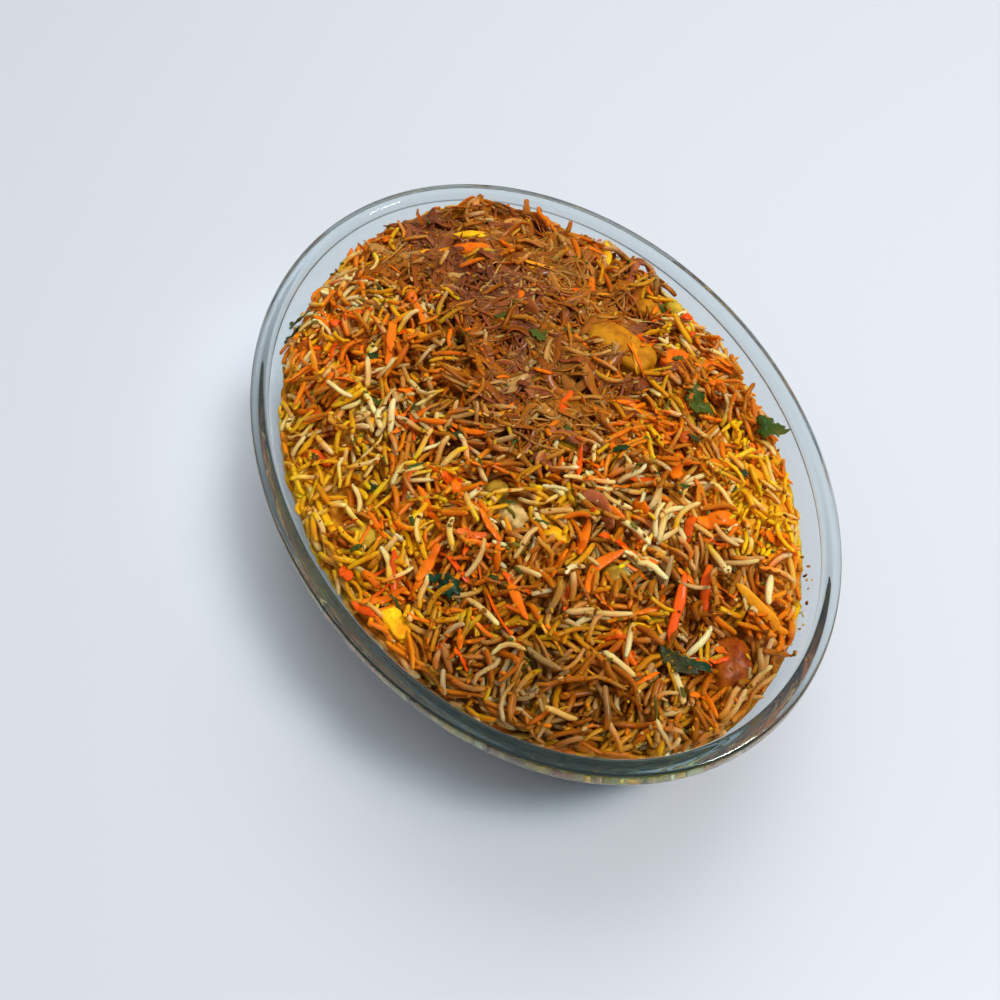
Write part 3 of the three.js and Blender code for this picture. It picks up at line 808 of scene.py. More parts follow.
# Where each kind of grain lies: a place on the heap, how far it reaches, the shares of yellow,
# orange, masala and cream grains there, and how bright those grains are.
ZONES = [
    ((-86, -38), (26, 22), (0.22, 0.62, 0.1, 0.2), 1.28),
    ((-52, -50), (18, 14), (0.06, 0.6, 0.24, 0.24), 1.1),
    ((-20, -68), (24, 15), (0.86, 0.14, 0.04, 0.08), 1.18),
    ((12, -80), (20, 9), (0.8, 0.2, 0.04, 0.14), 1.28),
    ((-60, 25), (52, 40), (0.16, 0.32, 0.5, 0.06), 0.63),
    ((-12, -42), (15, 11), (0.1, 0.3, 0.34, 0.62), 1.04),
    ((8, -12), (15, 15), (0.06, 0.3, 0.6, 0.1), 0.82),
    ((22, -34), (13, 13), (0.25, 0.35, 0.25, 0.4), 1.04),
    ((35, -8), (9, 9), (0.7, 0.3, 0.1, 0.1), 1.16),
    ((46, 16), (12, 10), (0.2, 0.46, 0.06, 0.8), 1.26),
    ((26, 38), (16, 15), (0.18, 0.58, 0.24, 0.1), 1.02),
    ((52, 56), (24, 20), (0.78, 0.22, 0.0, 0.06), 2.1),
    ((2, 74), (28, 12), (0.16, 0.5, 0.3, 0.18), 1.0),
    ((48, -62), (14, 12), (0.4, 0.44, 0.16, 0.14), 1.22),
    ((64, -46), (13, 14), (0.14, 0.5, 0.42, 0.08), 0.74),
    ((76, -10), (15, 14), (0.26, 0.24, 0.36, 0.4), 0.86),
    ((76, 38), (13, 12), (0.3, 0.56, 0.16, 0.1), 0.9),
    ((90, 14), (13, 12), (0.2, 0.2, 0.66, 0.06), 0.58),
    ((96, -40), (19, 26), (0.42, 0.0, 0.58, 0.34), 0.56),
    ((108, -4), (13, 15), (0.34, 0.04, 0.5, 0.36), 0.6),
    ((106, 28), (12, 14), (0.12, 0.42, 0.5, 0.08), 0.68),
    ((82, -30), (8, 7), (0.3, 0.1, 0.6, 0.1), 0.4),
    ((62, -52), (8, 7), (0.1, 0.4, 0.6, 0.0), 0.36),
    ((46, 6), (8, 7), (0.1, 0.2, 0.7, 0.05), 0.44),
    ((100, -44), (8, 6), (0.1, 0.2, 0.7, 0.1), 0.4),
    ((104, 12), (7, 7), (0.1, 0.4, 0.5, 0.0), 0.44),
    ((-2, -46), (7, 6), (0.1, 0.3, 0.6, 0.1), 0.5),
    ((-14, -60), (12, 8), (0.94, 0.06, 0.0, 0.06), 1.16),
]


def zone_shares(x, y):
    """The zones' shares and brightness, each zone counting by its bell curve."""
    weights = np.array([bell(x, y, at, reach) for at, reach, _, _ in ZONES]) + 1e-6
    weights /= weights.sum(0)
    shares = np.tensordot(np.array([zone[2] for zone in ZONES]).T, weights, 1)
    bright = np.tensordot([zone[3] for zone in ZONES], weights, 1)
    return shares / shares.sum(0), bright * (0.64 + 0.7 * light_field(x, y))


def pick_kind(x, y, shares):
    """A kind for the place: cream by its own patches, the others by where the hue field is."""
    if rng.random() < shares[3] * (0.12 + 2.4 * pale_field(x, y) ** 2):
        return "cream"
    steps = np.cumsum(shares[:3]) / shares[:3].sum()
    level = np.clip(hue_field(x, y) + rng.normal(0, 0.07), 0, 0.999)
    return KINDS[int(np.searchsorted(steps, level))]


# %% The core's colours
rings = core_rings()
shares, bright = zone_shares(rings[..., 0], rings[..., 1])
means = np.array([np.mean(GRAIN_COLOURS[kind], 0) for kind in KINDS])
mixed = np.tensordot(shares, means, (0, 0)) * bright[..., None]
core_finish = cooked("packed_rice", bath=0.3, relief=0.5, rough=0.4, coat=0.06, soft=0.5,
                     specks=0.6, stain=0.5)
# The core shows in the gaps between grains, so its tint is the grains' colours dimmed and mixed
# with the soaked brown: masala paste, and painted shade in the gaps.
add_piece("packed_rice", rings, core_finish, np.minimum(0.6 * mixed + 0.3 * SOAKED_AND_SHADED, 0.9),
          stands_for=["rice_heap"])

# %% Laying grains
GRAIN_HALF_LENGTH, GRAIN_HALF_WIDTH, GRAIN_HALF_THICK = 6.1, 0.97, 0.68
PLACES_TRIED, GIVE_UP, MOST_GRAINS = 12, 0.1, 5000
grains = {kind: [] for kind in KINDS}


def keep_grain(kind, middle, along, half_length, bright, soak_and_shade=0.0, roll=None, plump=1.0):
    """Notes one grain: where it is, its sizes, its bend, its roll and its two end colours."""
    palette = GRAIN_COLOURS[kind]
    first, second = rng.choice(len(palette), 2)
    other = palette[second]
    if rng.random() < 0.3:
        other = GRAIN_COLOURS["yellow" if kind == "cream" else "cream"][second]
    shade = bright * rng.uniform(0.94, 1.05)
    # Each end is drawn towards the soaked brown: masala soaked up, and painted shade for grains
    # that lie deep or under the onions.
    ends = [colour * shade * (1 - soak_and_shade) + SOAKED_AND_SHADED * bright * soak_and_shade
            for colour in (palette[first], other)]
    ends = [colour * min(1, 0.9 / colour.max()) for colour in ends]
    grains[kind].append(dict(
        middle=middle, along=along, half_length=half_length,
        bend=rng.normal(0, 0.17) * half_length, sway=rng.normal(0, 0.07) * half_length,
        hump=rng.uniform(0, 0.6), roll=rng.normal(0, 0.5) if roll is None else roll,
        size=plump * rng.uniform(0.8, 1.14), first=ends[0], second=ends[1]))


def lay_grain(x, y, bearing, half_length, kind=None, steep=0.0, plump=1.0, least=0.0):
    """Rests a grain on the map at (x, y), if both its ends stay inside the glass.

    least is the lowest brightness that it may have.
    """
    low, slope = pile.rest(x, y, bearing, half_length * 0.92)
    along = unit(np.array([np.cos(bearing), np.sin(bearing), slope + steep]))
    lift = GRAIN_HALF_THICK * 0.8 + abs(steep) * half_length * 0.5
    middle = np.array([x, y, low + lift])
    ends = middle + along * np.array([[-half_length], [half_length]])
    if not inside(*ends.T, 0.7).all() or pile.hides(*between(ends)[:, :2].T):
        return False
    shares, bright = zone_shares(x, y)
    # Grains deep in the heap and under the onions are darkened: partly masala soak, partly painted
    # shade.
    soak_and_shade = np.clip((heap(x, y) - middle[2] - 0.4) / 3.0 + 0.6 * onion_share(x, y), 0, 1) * 0.75
    keep_grain(kind or pick_kind(x, y, shares), middle, along, half_length, max(bright, least),
               soak_and_shade * (0.6 if kind == "cream" else 1.0), plump=plump)
    pile.cover_stick(middle, along, half_length * 0.92, GRAIN_HALF_WIDTH, GRAIN_HALF_THICK)
    return True


def lowest_spot(target):
    """The place among a few random ones where the map lies deepest under the target."""
    out = EDGE_OUT - 0.3
    x, y = scatter(HALF_LENGTH + out, HALF_WIDTH + out, 1, PLACES_TRIED)
    lack = target(x, y) - pile.height(x, y)
    best = np.argmax(lack)
    return x[best], y[best], lack[best]


# Places and reaches of the onions, and bearings and reaches of the edges that rice leans on.
MAT_ZONES = [((-62, 22), (42, 36)), ((-98, 8), (22, 30)), ((-8, 8), (27, 24)),
             ((-26, 38), (22, 20))]
NEAR_EDGES = [(-75, 32), (-30, 30), (0, 14)]


def onion_share(x, y):
    """1 where fried onions cover the rice, 0 away from them."""
    cover = sum(bell(x, y, at, reach) for at, reach in MAT_ZONES)
    return np.clip((cover - 0.35) / 0.3, 0, 1)


def fill(target):
    """Lays grains in the lowest places until hardly any place is too low."""
    laid, full = 0, 0
    while full < 40 and laid < MOST_GRAINS:
        x, y, lack = lowest_spot(target)
        if lack < GIVE_UP:
            full += 1
            continue
        flow = np.sin(x / 21 + 1.3) + np.cos(y / 17 - x / 40)
        bearing = rng.uniform(0, np.pi) if rng.random() < 0.6 else flow + rng.normal(0, 0.3)
        edge = (x / HALF_LENGTH) ** 2 + (y / HALF_WIDTH) ** 2
        if edge > 0.72 and rng.random() < 0.7:
            bearing = np.arctan2(x / HALF_LENGTH**2, -y / HALF_WIDTH**2) + rng.normal(0, 0.25)
        for beside in range(rng.integers(1, 4)):
            half_length = GRAIN_HALF_LENGTH * (rng.uniform(0.8, 1.12) if rng.random() < 0.55
                                               else rng.uniform(0.3, 0.8))
            laid += lay_grain(x, y, bearing + rng.normal(0, 0.2), half_length)
            away = rng.choice([-1.9, 1.9])
            x, y = x - away * np.sin(bearing), y + away * np.cos(bearing)
        full += 0.02
    return laid


def grain_level(x, y):
    """How high the grains are to stand: lower under the onions, heaped up against the glass."""
    bearing = np.degrees(np.arctan2(y / HALF_WIDTH, x / HALF_LENGTH))
    against = sum(np.exp(-((bearing - at) / reach) ** 2) for at, reach in NEAR_EDGES)
    banked = 2.6 * np.clip((way_out(x, y) - 0.86) / 0.1, 0, 1) * np.minimum(1, against)
    return heap(x, y) - 0.5 - 1.4 * onion_share(x, y) + banked


print(f"{fill(grain_level)} grains laid")

# %% [markdown]
# ## Fried onions
#
# Sliced thin and fried until they are brown and limp, the onions lie over the far half of the
# heap in a tangle of broad and narrow ribbons, golden, dark or purple from red onion. Each is a
# thin oval that twists along a wandering line. The line's height is read from the map and
# smoothed, so the ribbon sags over what is under it, and it raises the map for the next one.

# %% Ribbons
ONION_COLOURS = {
    "golden": [rgb(158, 88, 18), rgb(142, 74, 12), rgb(178, 110, 44)],
    "brown": [rgb(138, 68, 10), rgb(120, 54, 8), rgb(150, 78, 14)],
    "purple": [rgb(124, 60, 36), rgb(102, 44, 26), rgb(146, 80, 52)],
    "tan": [rgb(196, 136, 70), rgb(178, 112, 48), rgb(204, 148, 84)],
}
RIBBON_RINGS, RIBBON_AROUND = 16, 8
tone_field = soft_noise(17, 8)


def uneven(low, high):
    """A soft random factor for each ring of a ribbon."""
    return np.convolve(rng.uniform(low, high, RIBBON_RINGS + 2), np.ones(3) / 3, "valid")


def soften(heights, weights=(0.1, 0.2, 0.4, 0.2, 0.1)):
    """Heights along a line, each averaged with its neighbours by weights."""
    return np.convolve(np.pad(heights, 2, "edge"), weights, "valid")


def fade(first, second):
    """Colours along a ribbon, from first to second."""
    share = np.linspace(0, 1, RIBBON_RINGS)[:, None]
    return first * (1 - share) + second * share


def drape(x, y, heading, length, turn):
    """A soft line laid over the map: its height is the map's, held up a little between peaks.

    The heading turns evenly along the line, plus a slow wave.
    """
    t = np.linspace(0, 1, RIBBON_RINGS)
    angle = heading + turn * (t - 0.5) + 0.35 * np.sin(2 * np.pi * t * rng.uniform(0.6, 1.6))
    step = length / (RIBBON_RINGS - 1)
    px = x + np.cumsum(np.cos(angle)) * step
    py = y + np.cumsum(np.sin(angle)) * step
    px, py = px - px.mean() + x, py - py.mean() + y
    z = pile.height(px, py)
    for _ in range(4):
        z = np.maximum(z, 0.5 * np.roll(z, 1) + 0.5 * np.roll(z, -1) - 0.25)
        z[[0, -1]] = z[[1, -2]] - 0.2
    return np.stack([px, py, soften(z) - 0.35], -1)


def twist(path, roll):
    """Side directions along a path, rolled about it from level by an angle for each point."""
    along = unit(np.gradient(path, axis=-2))
    level = unit(np.cross([0, 0, 1.0], along))
    upward = np.cross(along, level)
    return level * np.cos(roll)[..., None] + upward * np.sin(roll)[..., None]


def cover_ribbon(path, half_width, thick):
    """Raises the map under a ribbon."""
    along = unit(np.gradient(path, axis=0))
    across = np.linspace(-half_width, half_width, 5)
    x = path[:, 0, None] - along[:, 1, None] * across
    y = path[:, 1, None] + along[:, 0, None] * across
    pile.cover(x, y, np.broadcast_to(path[:, 2, None] + thick, x.shape))


def ribbon_taper(blunt=0.55):
    """Full width along the middle, narrowing to blunt ends."""
    end = np.abs(np.linspace(-1, 1, RIBBON_RINGS))
    return blunt + (1 - blunt) * np.sqrt(1 - end**6)


ribbons = []


def add_ribbon(path, width, thick, tone, roll, twirl, shade=1.0):
    """Notes one ribbon and raises the map with it."""
    path[:, 2] += thick * 0.5
    rolls = roll + twirl * np.linspace(-0.5, 0.5, RIBBON_RINGS)
    palette = ONION_COLOURS[tone]
    first, second = rng.choice(len(palette), 2)
    tint = fade(palette[first], palette[second])
    t = np.linspace(0, 1, RIBBON_RINGS)[:, None]
    crisp = 0.8 + 0.2 * np.minimum(1, 6 * np.minimum(t, 1 - t) + 0.2)
    ribbons.append((path, twist(path, rolls), width / 2 * ribbon_taper() * uneven(0.6, 1.3),
                    thick / 2 * ribbon_taper(0.6), tint * crisp * shade * rng.uniform(0.9, 1.08)))
    cover_ribbon(path, width / 2 * max(0.3, abs(np.cos(roll))), thick * 0.4)


def pick_tone(x, y):
    """Purple, brown and golden lie in patches, with a tan slice here and there."""
    if rng.random() < 0.1:
        return "tan"
    level = tone_field(x, y) + rng.normal(0, 0.08)
    return "purple" if level < 0.27 else "brown" if level < 0.62 else "golden"


RIBBONS, MOST_TRIES = 700, 20000
laid, tried = 0, 0
while laid < RIBBONS and tried < MOST_TRIES:
    tried += 1
    x, y = scatter(HALF_LENGTH * 0.92, HALF_WIDTH * 0.92)
    if rng.random() > onion_share(x, y) * 0.95 + 0.004:
        continue
    if pile.height(x, y) > heap(x, y) + 1.4:
        continue
    broad = rng.random() < 0.1 + 0.34 * laid / RIBBONS
    length = rng.uniform(12, 26) if broad else rng.uniform(12, 30)
    width = rng.uniform(2.4, 4.8) if broad else rng.uniform(0.7, 1.8)
    path = drape(x, y, rng.uniform(0, 2 * np.pi), length, rng.normal(0, 1.0 if broad else 1.7))
    if not inside(*path.T, 2.2).all() or pile.hides(path[:, 0], path[:, 1]):
        continue
    add_ribbon(path, width, rng.uniform(0.45, 0.8), pick_tone(x, y),
               rng.normal(0, 0.4 if broad else 0.6), rng.normal(0, 1.1 if broad else 1.6))
    laid += 1
print(f"{laid} onion ribbons")

# The larger soft slices: places on the heap, width, tone and shade.
SOFT_STRIPS = [
    ([(1, 38), (-2, 50), (-2, 62)], 4.4, "purple", 1.3),
    ([(-20, 19), (-14, 25), (-7, 29)], 5.0, "purple", 0.9),
    ([(-3, 66), (5, 58), (18, 49)], 4.0, "golden", 1.15),
    ([(-77, 2), (-74, 7), (-70, 11)], 4.4, "purple", 0.9),
    ([(-113, -6), (-108, -5), (-102, -4)], 5.0, "purple", 0.9),
    ([(-15, 1), (-12, 6), (-7, 11)], 4.4, "purple", 0.95),
    ([(-20, -14), (-15, -8), (-8, -6)], 3.4, "brown", 0.9),
    ([(8, 2), (14, 8), (21, 11)], 5.0, "purple", 1.2),
    ([(37, 1), (43, 5), (51, 5)], 4.6, "purple", 1.15),
    ([(15, -7), (20, -2), (27, -1)], 4.6, "purple", 1.2),
    ([(-24, 14), (-14, 12), (-6, 15)], 4.0, "brown", 1.0),
    ([(-44, -8), (-36, -2), (-28, -4)], 3.6, "purple", 1.0),
]
for places, width, tone, shade in SOFT_STRIPS:
    flat_path = smooth_path(places, RIBBON_RINGS)
    z = pile.height(flat_path[:, 0], flat_path[:, 1])
    path = np.column_stack([flat_path, soften(z, np.ones(5) / 5) + 0.2])
    add_ribbon(path, width, 0.9, tone, rng.normal(0, 0.2), rng.normal(0, 0.5), shade)

# Crisp ends that stand up out of the far edge: foot, tip, width and tone.
SPIKES = [
    ((-98, 40, 0.5), (-102, 42, 7.5), 3.0, "golden"),
    ((-96, 45, 0.5), (-99, 46.5, 5), 2.0, "brown"),
    ((-112, 2, 0.5), (-115, 1, 5), 2.4, "brown"),
    ((-108, -22, 0.5), (-111, -25, 5), 1.6, "brown"),
    ((-86, 52, 0.5), (-88, 55, 5), 2.0, "golden"),
]
for foot, tip, width, tone in SPIKES:
    path = smooth_path([foot, (np.array(foot) + tip) / 2 + [0.5, 0, 0.5], tip], RIBBON_RINGS)
    path[:, 2] += heap(foot[0], foot[1])
    add_ribbon(path, width, 0.8, tone, 0.4, 0.8)

paths, sides, widths, thicks, tints = map(np.array, zip(*ribbons))
onion_rings = carry(paths, sides, widths, thicks, RIBBON_AROUND)
onion_finish = cooked("fried_onion", bath=0.2, relief=0.3, rough=0.26, coat=0.25, soft=0.6,
                      specks=0.3, stain=0.25)
streaks = rng.uniform(0.78, 1.2, (len(onion_rings), 1, RIBBON_AROUND, 1))
add_piece("fried_onions_fine", onion_rings, onion_finish,
          tints[:, :, None] * streaks, stands_for=["fried_onions"])

# %% [markdown]
# ## Shredded carrot
#
# Carrot is grated or cut into thin flat sticks, 1 to 5 mm wide, and it gives the dish its
# brightest colour. The small ones lie anywhere and the large ones each in a place of its own, on
# a line like the onions' that sags less.

# %% Shreds
CARROT_COLOURS = {
    "orange": (rgb(234, 118, 8), rgb(222, 96, 4)),
    "red": (rgb(226, 86, 6), rgb(212, 66, 4)),
    "pink": (rgb(220, 104, 44), rgb(206, 84, 26)),
    "dark": (rgb(182, 80, 12), rgb(160, 62, 10)),
    "gold": (rgb(236, 158, 24), rgb(226, 136, 18)),
}

# Each shred: places on the heap, width, and colour where it isn't orange.
SHREDS = [
    ([(44, -57.5), (35, -47)], 3.4), ([(56.7, -39.6), (68, -39.6), (79.2, -37.5)], 2.8, "red"),
    ([(53.3, -33), (70, -31.7)], 2.4), ([(43.3, -30.4), (49.2, -33.8)], 2.4),
    ([(36.7, -41.7), (38.8, -32.5)], 2.6, "pink"), ([(30.8, -31.3), (42.5, -28.8)], 2.6),
    ([(51.7, -10.4), (60.4, -20)], 3.6), ([(45.8, 0), (55.8, -7.9)], 3.0),
    ([(69.2, -11.7), (63.3, -7.5), (60.8, -0.8), (60.5, 5)], 3.0),
    ([(51.7, 0), (58.3, 7.5)], 2.8, "red"), ([(40.8, -78), (49.2, -74.2)], 2.4, "red"),
    ([(28, -78), (33, -76)], 3.4, "red"), ([(43, -75.8), (43, -60.8)], 2.4),
    ([(31.7, -71.7), (40, -68.3)], 2.4), ([(11, -37), (17, -31)], 3.4, "red"),
    ([(14, -33), (21, -36)], 3.0), ([(11.3, -26.7), (17.5, -18.3)], 2.2),
    ([(-28.3, -37.5), (-21, -32.5)], 3.0), ([(-44, -60), (-38, -50)], 3.0),
    ([(-50, -32), (-42, -37)], 3.0), ([(-22, -76), (-18, -71), (-14, -68)], 4.0, "red"),
    ([(13.3, -51.7), (5, -42.5)], 2.2, "pink"), ([(42.5, 32), (33, 37.5)], 4.2),
    ([(22.5, 8.3), (30, 10.8)], 2.6), ([(29, 42), (23, 47)], 3.2, "dark"),
    ([(44, 16), (50, 18)], 3.6), ([(59, 5), (66.7, 14)], 2.4),
    ([(56.7, 32.5), (60.8, 46.7)], 4.6), ([(55, 34), (57, 30), (61.7, 28)], 2.8, "red"),
    ([(73.3, 20), (84, 11.7), (92.5, 5)], 2.8, "red"),
    ([(72.5, 29), (79, 24), (85.8, 21)], 3.0, "red"),
    ([(82.5, 33), (95, 39), (100, 43)], 3.4, "gold"), ([(69, 51), (73, 56)], 3.6),
    ([(42, 59), (46, 65)], 4.0, "gold"), ([(-8.3, 19.6), (-2.5, 13.3), (3.3, 10.8)], 2.8, "red"),
    ([(-19, 9), (-15, 14)], 4.4), ([(9, 42), (15, 44)], 2.6),
    ([(-26, 69), (-22, 73)], 2.6, "red"), ([(4, 66), (8, 70)], 2.4), ([(-4, 73), (0, 77)], 2.6),
    ([(-118, -26.5), (-107, -30)], 2.8), ([(-115, -12), (-110, -15)], 2.8),
    ([(-81, -53), (-73, -48)], 2.8), ([(-74, -48), (-70, -42)], 3.2, "red"),
    ([(-60, -28), (-46, -34)], 3.2), ([(-68, -22), (-62, -18)], 3.4),
    ([(-57, 20), (-50, 17)], 2.8), ([(-58, 50), (-50, 46)], 2.8),
]


def lay_shreds(shreds, palette):
    """Rests flat shreds on the map. Returns their paths, sides, half sizes and tints."""
    laid = []
    shred_taper = 0.2 + 0.8 * np.sqrt(1 - np.linspace(-1, 1, RIBBON_RINGS) ** 2)
    for places, width, *tone in shreds:
        flat_path = smooth_path(places, RIBBON_RINGS)
        flat_path += np.cumsum(rng.normal(0, 0.09, flat_path.shape), axis=0)
        z = pile.height(flat_path[:, 0], flat_path[:, 1])
        line = np.polyval(np.polyfit(np.arange(RIBBON_RINGS), z, 2), np.arange(RIBBON_RINGS))
        z = soften(0.5 * (line + z) + max(0.0, (z - line).max() * 0.25))
        thick = width * 0.26 * rng.uniform(0.8, 1.2)
        path = np.column_stack([flat_path, z + thick * 0.2])
        edge = uneven(0.75, 1.3)
        side = twist(path, np.full(RIBBON_RINGS, rng.normal(0, 0.4)))
        tint = fade(*palette[tone[0] if tone else "orange"]) * rng.uniform(0.92, 1.06)
        laid.append((path, side, width / 2 * shred_taper * edge, thick / 2 * ribbon_taper(0.5),
                     tint))
        cover_ribbon(path, width / 2, thick * 0.4)
    return [np.array(rows) for rows in zip(*laid)]


def add_shreds(name, laid, finish):
    """One piece from shreds that have been laid."""
    *form, tints = laid
    add_piece(name, carry(*form, RIBBON_AROUND), finish, tints[:, :, None])


def random_shreds(number, tones, chances, widths, lengths):
    """Small shreds everywhere but under the onions."""
    found = []
    while len(found) < number:
        x, y = scatter(118, 78, 0.9)
        if rng.random() < onion_share(x, y) * 0.7:
            continue
        heading, length = rng.uniform(0, np.pi), rng.uniform(*lengths)
        dx, dy = length / 2 * np.cos(heading), length / 2 * np.sin(heading)
        if inside(np.array([x - dx, x + dx]), np.array([y - dy, y + dy]), heap(x, y), 1.5).all():
            tone = rng.choice(tones, p=chances)
            found.append(([(x - dx, y - dy), (x + dx, y + dy)], rng.uniform(*widths), tone))
    return found


small_shreds = random_shreds(190, ["orange", "red", "gold"], [0.55, 0.3, 0.15], (1.1, 2.5), (5, 15))
scattered = lay_shreds(small_shreds, CARROT_COLOURS)

# %% [markdown]
# ## The last grains and shreds
#
# A few more grains of every colour are thrown over the heap. Then come the things that lie clear
# of everything else and catch the eye, each from one place to another: the large shreds of
# carrot, and last the palest grains.

# %% Thrown grains
THROWN_GRAINS = 420
thrown = 0
while thrown < THROWN_GRAINS:
    x, y = scatter(120, 80, 0.95)
    if rng.random() < 0.93 * onion_share(x, y) or pile.height(x, y) > heap(x, y) + 1.2:
        continue
    half_length = GRAIN_HALF_LENGTH * rng.uniform(0.7, 1.05)
    thrown += lay_grain(x, y, rng.uniform(0, np.pi), half_length, steep=rng.normal(0, 0.12))

# %% Large shreds
SWOLLEN = 1.12
placed = lay_shreds([(places, width * SWOLLEN, *tone) for places, width, *tone in SHREDS],
                    CARROT_COLOURS)
carrot_finish = cooked("carrot_shred", bath=0.1, relief=0.3, rough=0.3, coat=0.15, soft=0.1,
                       specks=0.15, stain=0.15)
add_shreds("carrot_shreds", map(np.concatenate, zip(scattered, placed)), carrot_finish)

# %% Grains on top
TOP_GRAINS = [
    (-47, -42, -33, -47), (-38, -59, -32, -54), (-22, -41, -11, -47), (-24, -45, -14, -50),
    (-7, -33, 1, -43), (4, -49, 5, -39), (8, -53, 7, -45), (7, -36, 6, -26),
    (-10, -64, -1, -69), (50, -44, 42, -33), (51, -28, 60, -23), (56, -46, 70, -41),
    (31, -41, 40, -45), (74, -15, 81, -2), (86, -5, 91, -9), (49, 27, 60, 17), (51, 31, 54, 20),
    (52, 35, 56, 24), (50, 9, 61, 14), (82, 46, 91, 40), (66, 9, 72, 13), (92, 20, 97, 9),
    (20, 14, 28, 9), (43, -17, 49, -28), (74, -46, 80, -36), (88, -15, 99, -10),
    (100, 3, 111, 0), (99, -40, 104, -30), (23, -49, 31, -53), (26, -34, 33, -34),
]
for x0, y0, x1, y1 in TOP_GRAINS:
    half_length = min(7.4, max(5.4, np.hypot(x1 - x0, y1 - y0) / 2))
    lay_grain((x0 + x1) / 2, (y0 + y1) / 2, np.arctan2(y1 - y0, x1 - x0), half_length, "cream",
              plump=1.06, least=1.12)

# %% [markdown]
# ## Torn coriander
#
# Chopped coriander leaves are thin, dark and limp. Each is a closed skin two tenths of a
# millimetre thick with a lobed outline, spread over a smoothed copy of the map, so it bends
# with the heap but bridges the gaps between grains. Small green shreds of stem go with them.

# %% Leaves
LEAF_AROUND = 56
LEAF_COLOURS = [rgb(44, 72, 24), rgb(26, 54, 24), rgb(62, 80, 26), rgb(18, 54, 34)]

# Each leaf: place on the heap, length, breadth, bearing in degrees and how far it stands up.
LEAVES = [
    (14, 56, 13, 9, 20, 0.15), (9, 58, 8, 6, 100, 0.1), (31, 75.5, 12, 8, 75, 0.8),
    (-33, 17, 7, 6, 0, 0.1), (-32, 28, 4, 3, 50, 0), (-83, -58, 13, 8, 35, 0.4),
    (-78, -63, 8, 6, 80, 0.2), (50, -50, 9, 7, 10, 0.1), (45, -52, 6, 4, 60, 0.1),
    (53, -36, 5, 3, 0, 0.1), (101, 7, 14, 6, 60, 0.2), (96, 3, 8, 5, 10, 0.1),
    (5.8, -59, 5, 3.4, 30, 0.1), (26, 20, 6, 3.4, 70, 0.1), (-27.5, -46.5, 6, 4, 20, 0.1),
    (-18, -36, 5, 3.6, 80, 0.1), (-1, -27, 6, 4, 40, 0.1), (-49, -40, 6, 4, 0, 0.1),
    (-6, 59, 5, 3, 30, 0.1), (44.5, 56.5, 5, 3, 60, 0.1), (28, 47, 5, 4, 0, 0.2),
    (-46, 8, 5, 4, 45, 0.1), (-17, -72, 4, 3, 0, 0.1),
]


def smoothed(top):
    """The map with each cell averaged with its four neighbours again and again."""
    for _ in range(14):
        sides = (np.roll(top, 1, 0) + np.roll(top, -1, 0) + np.roll(top, 1, 1)
                 + np.roll(top, -1, 1))
        top = (top + sides) / 5
    return top


def leaf_rings(x, y, length, breadth, bearing, stand):
    """From the middle of the upper face out to the lobed edge and back under to the middle.

    The edge is 0.8 + 0.12 cos 3a + 0.1 cos 7a + 0.06 cos 13a of the half sizes, each wave
    shifted. The leaf cups along its length, waves at its edge, and stands up by a share of its
    reach.
    """
    angle = 2 * np.pi * np.arange(LEAF_AROUND) / LEAF_AROUND
    shift = rng.uniform(0, 2 * np.pi, 2)
    edge = 0.8 + 0.12 * np.cos(3 * angle + shift[0]) + 0.1 * np.cos(7 * angle + shift[1])
    edge += 0.06 * np.cos(13 * angle + shift.sum())
    reach = np.array([0.05, 0.5, 0.85, 1, 0.85, 0.5, 0.05])[:, None] * edge
    half = np.array([0.12, 0.12, 0.1, 0, -0.1, -0.12, -0.12])[:, None]
    length, breadth = 1.15 * length, 1.15 * breadth
    u, v = reach * np.cos(angle) * length / 2, reach * np.sin(angle) * breadth / 2
    wave = 0.35 * np.sin(3 * angle + shift[1]) * reach**2
    turn = np.radians(bearing)
    px, py = x + u * np.cos(turn) - v * np.sin(turn), y + u * np.sin(turn) + v * np.cos(turn)
    rise = stand * (reach * np.cos(angle) + 1) * length / 2
    cup = 0.05 * v**2 - rng.uniform(0.01, 0.04) * u**2 / 2
    return np.stack([px, py, soft_top[pile.cells(px, py)] + 0.55 + wave + cup + rise + half], -1)


soft_top = smoothed(pile.top)
leaves = np.array([leaf_rings(*leaf) for leaf in LEAVES])
leaf_tints = np.array([LEAF_COLOURS[i] for i in rng.integers(0, len(LEAF_COLOURS), len(leaves))])
leaf_finish = cooked("coriander_leaf", bath=0.08, relief=0.2, rough=0.34, coat=0.12, soft=0.15,
                     specks=0.3)
add_piece("coriander_leaves", leaves, leaf_finish, leaf_tints[:, None, None])

STEM_COLOURS = {
    "green": (rgb(56, 84, 24), rgb(38, 64, 22)),
    "olive": (rgb(112, 108, 30), rgb(80, 82, 20)),
}
small_stems = random_shreds(60, ["green", "olive"], [0.6, 0.4], (0.8, 1.8), (2.5, 7))
add_shreds("coriander_shreds", lay_shreds(small_stems, STEM_COLOURS), leaf_finish)

# %% [markdown]
# ## Crumbs and spice
#
# The finest things are crumbs: broken rice, bits of fried onion, carrot dust and ground spice,
# half a millimetre to a millimetre and a half thick. There are thousands, so each is four small
# rings. They are dropped at random places, and each takes its height from the map. A few have
# stuck to the inner glass at the right, where the spoon went in.

# %% Crumbs
CRUMB_COLOURS = np.array([rgb(200, 158, 94), rgb(150, 92, 20), rgb(112, 62, 14), rgb(206, 104, 14),
                          rgb(200, 148, 30), rgb(66, 80, 26), rgb(84, 44, 12)])
CRUMB_CHANCES = [0.1, 0.26, 0.24, 0.14, 0.1, 0.06, 0.1]
CRUMB_SHAPE = np.array([0.35, 1, 0.9, 0.4])


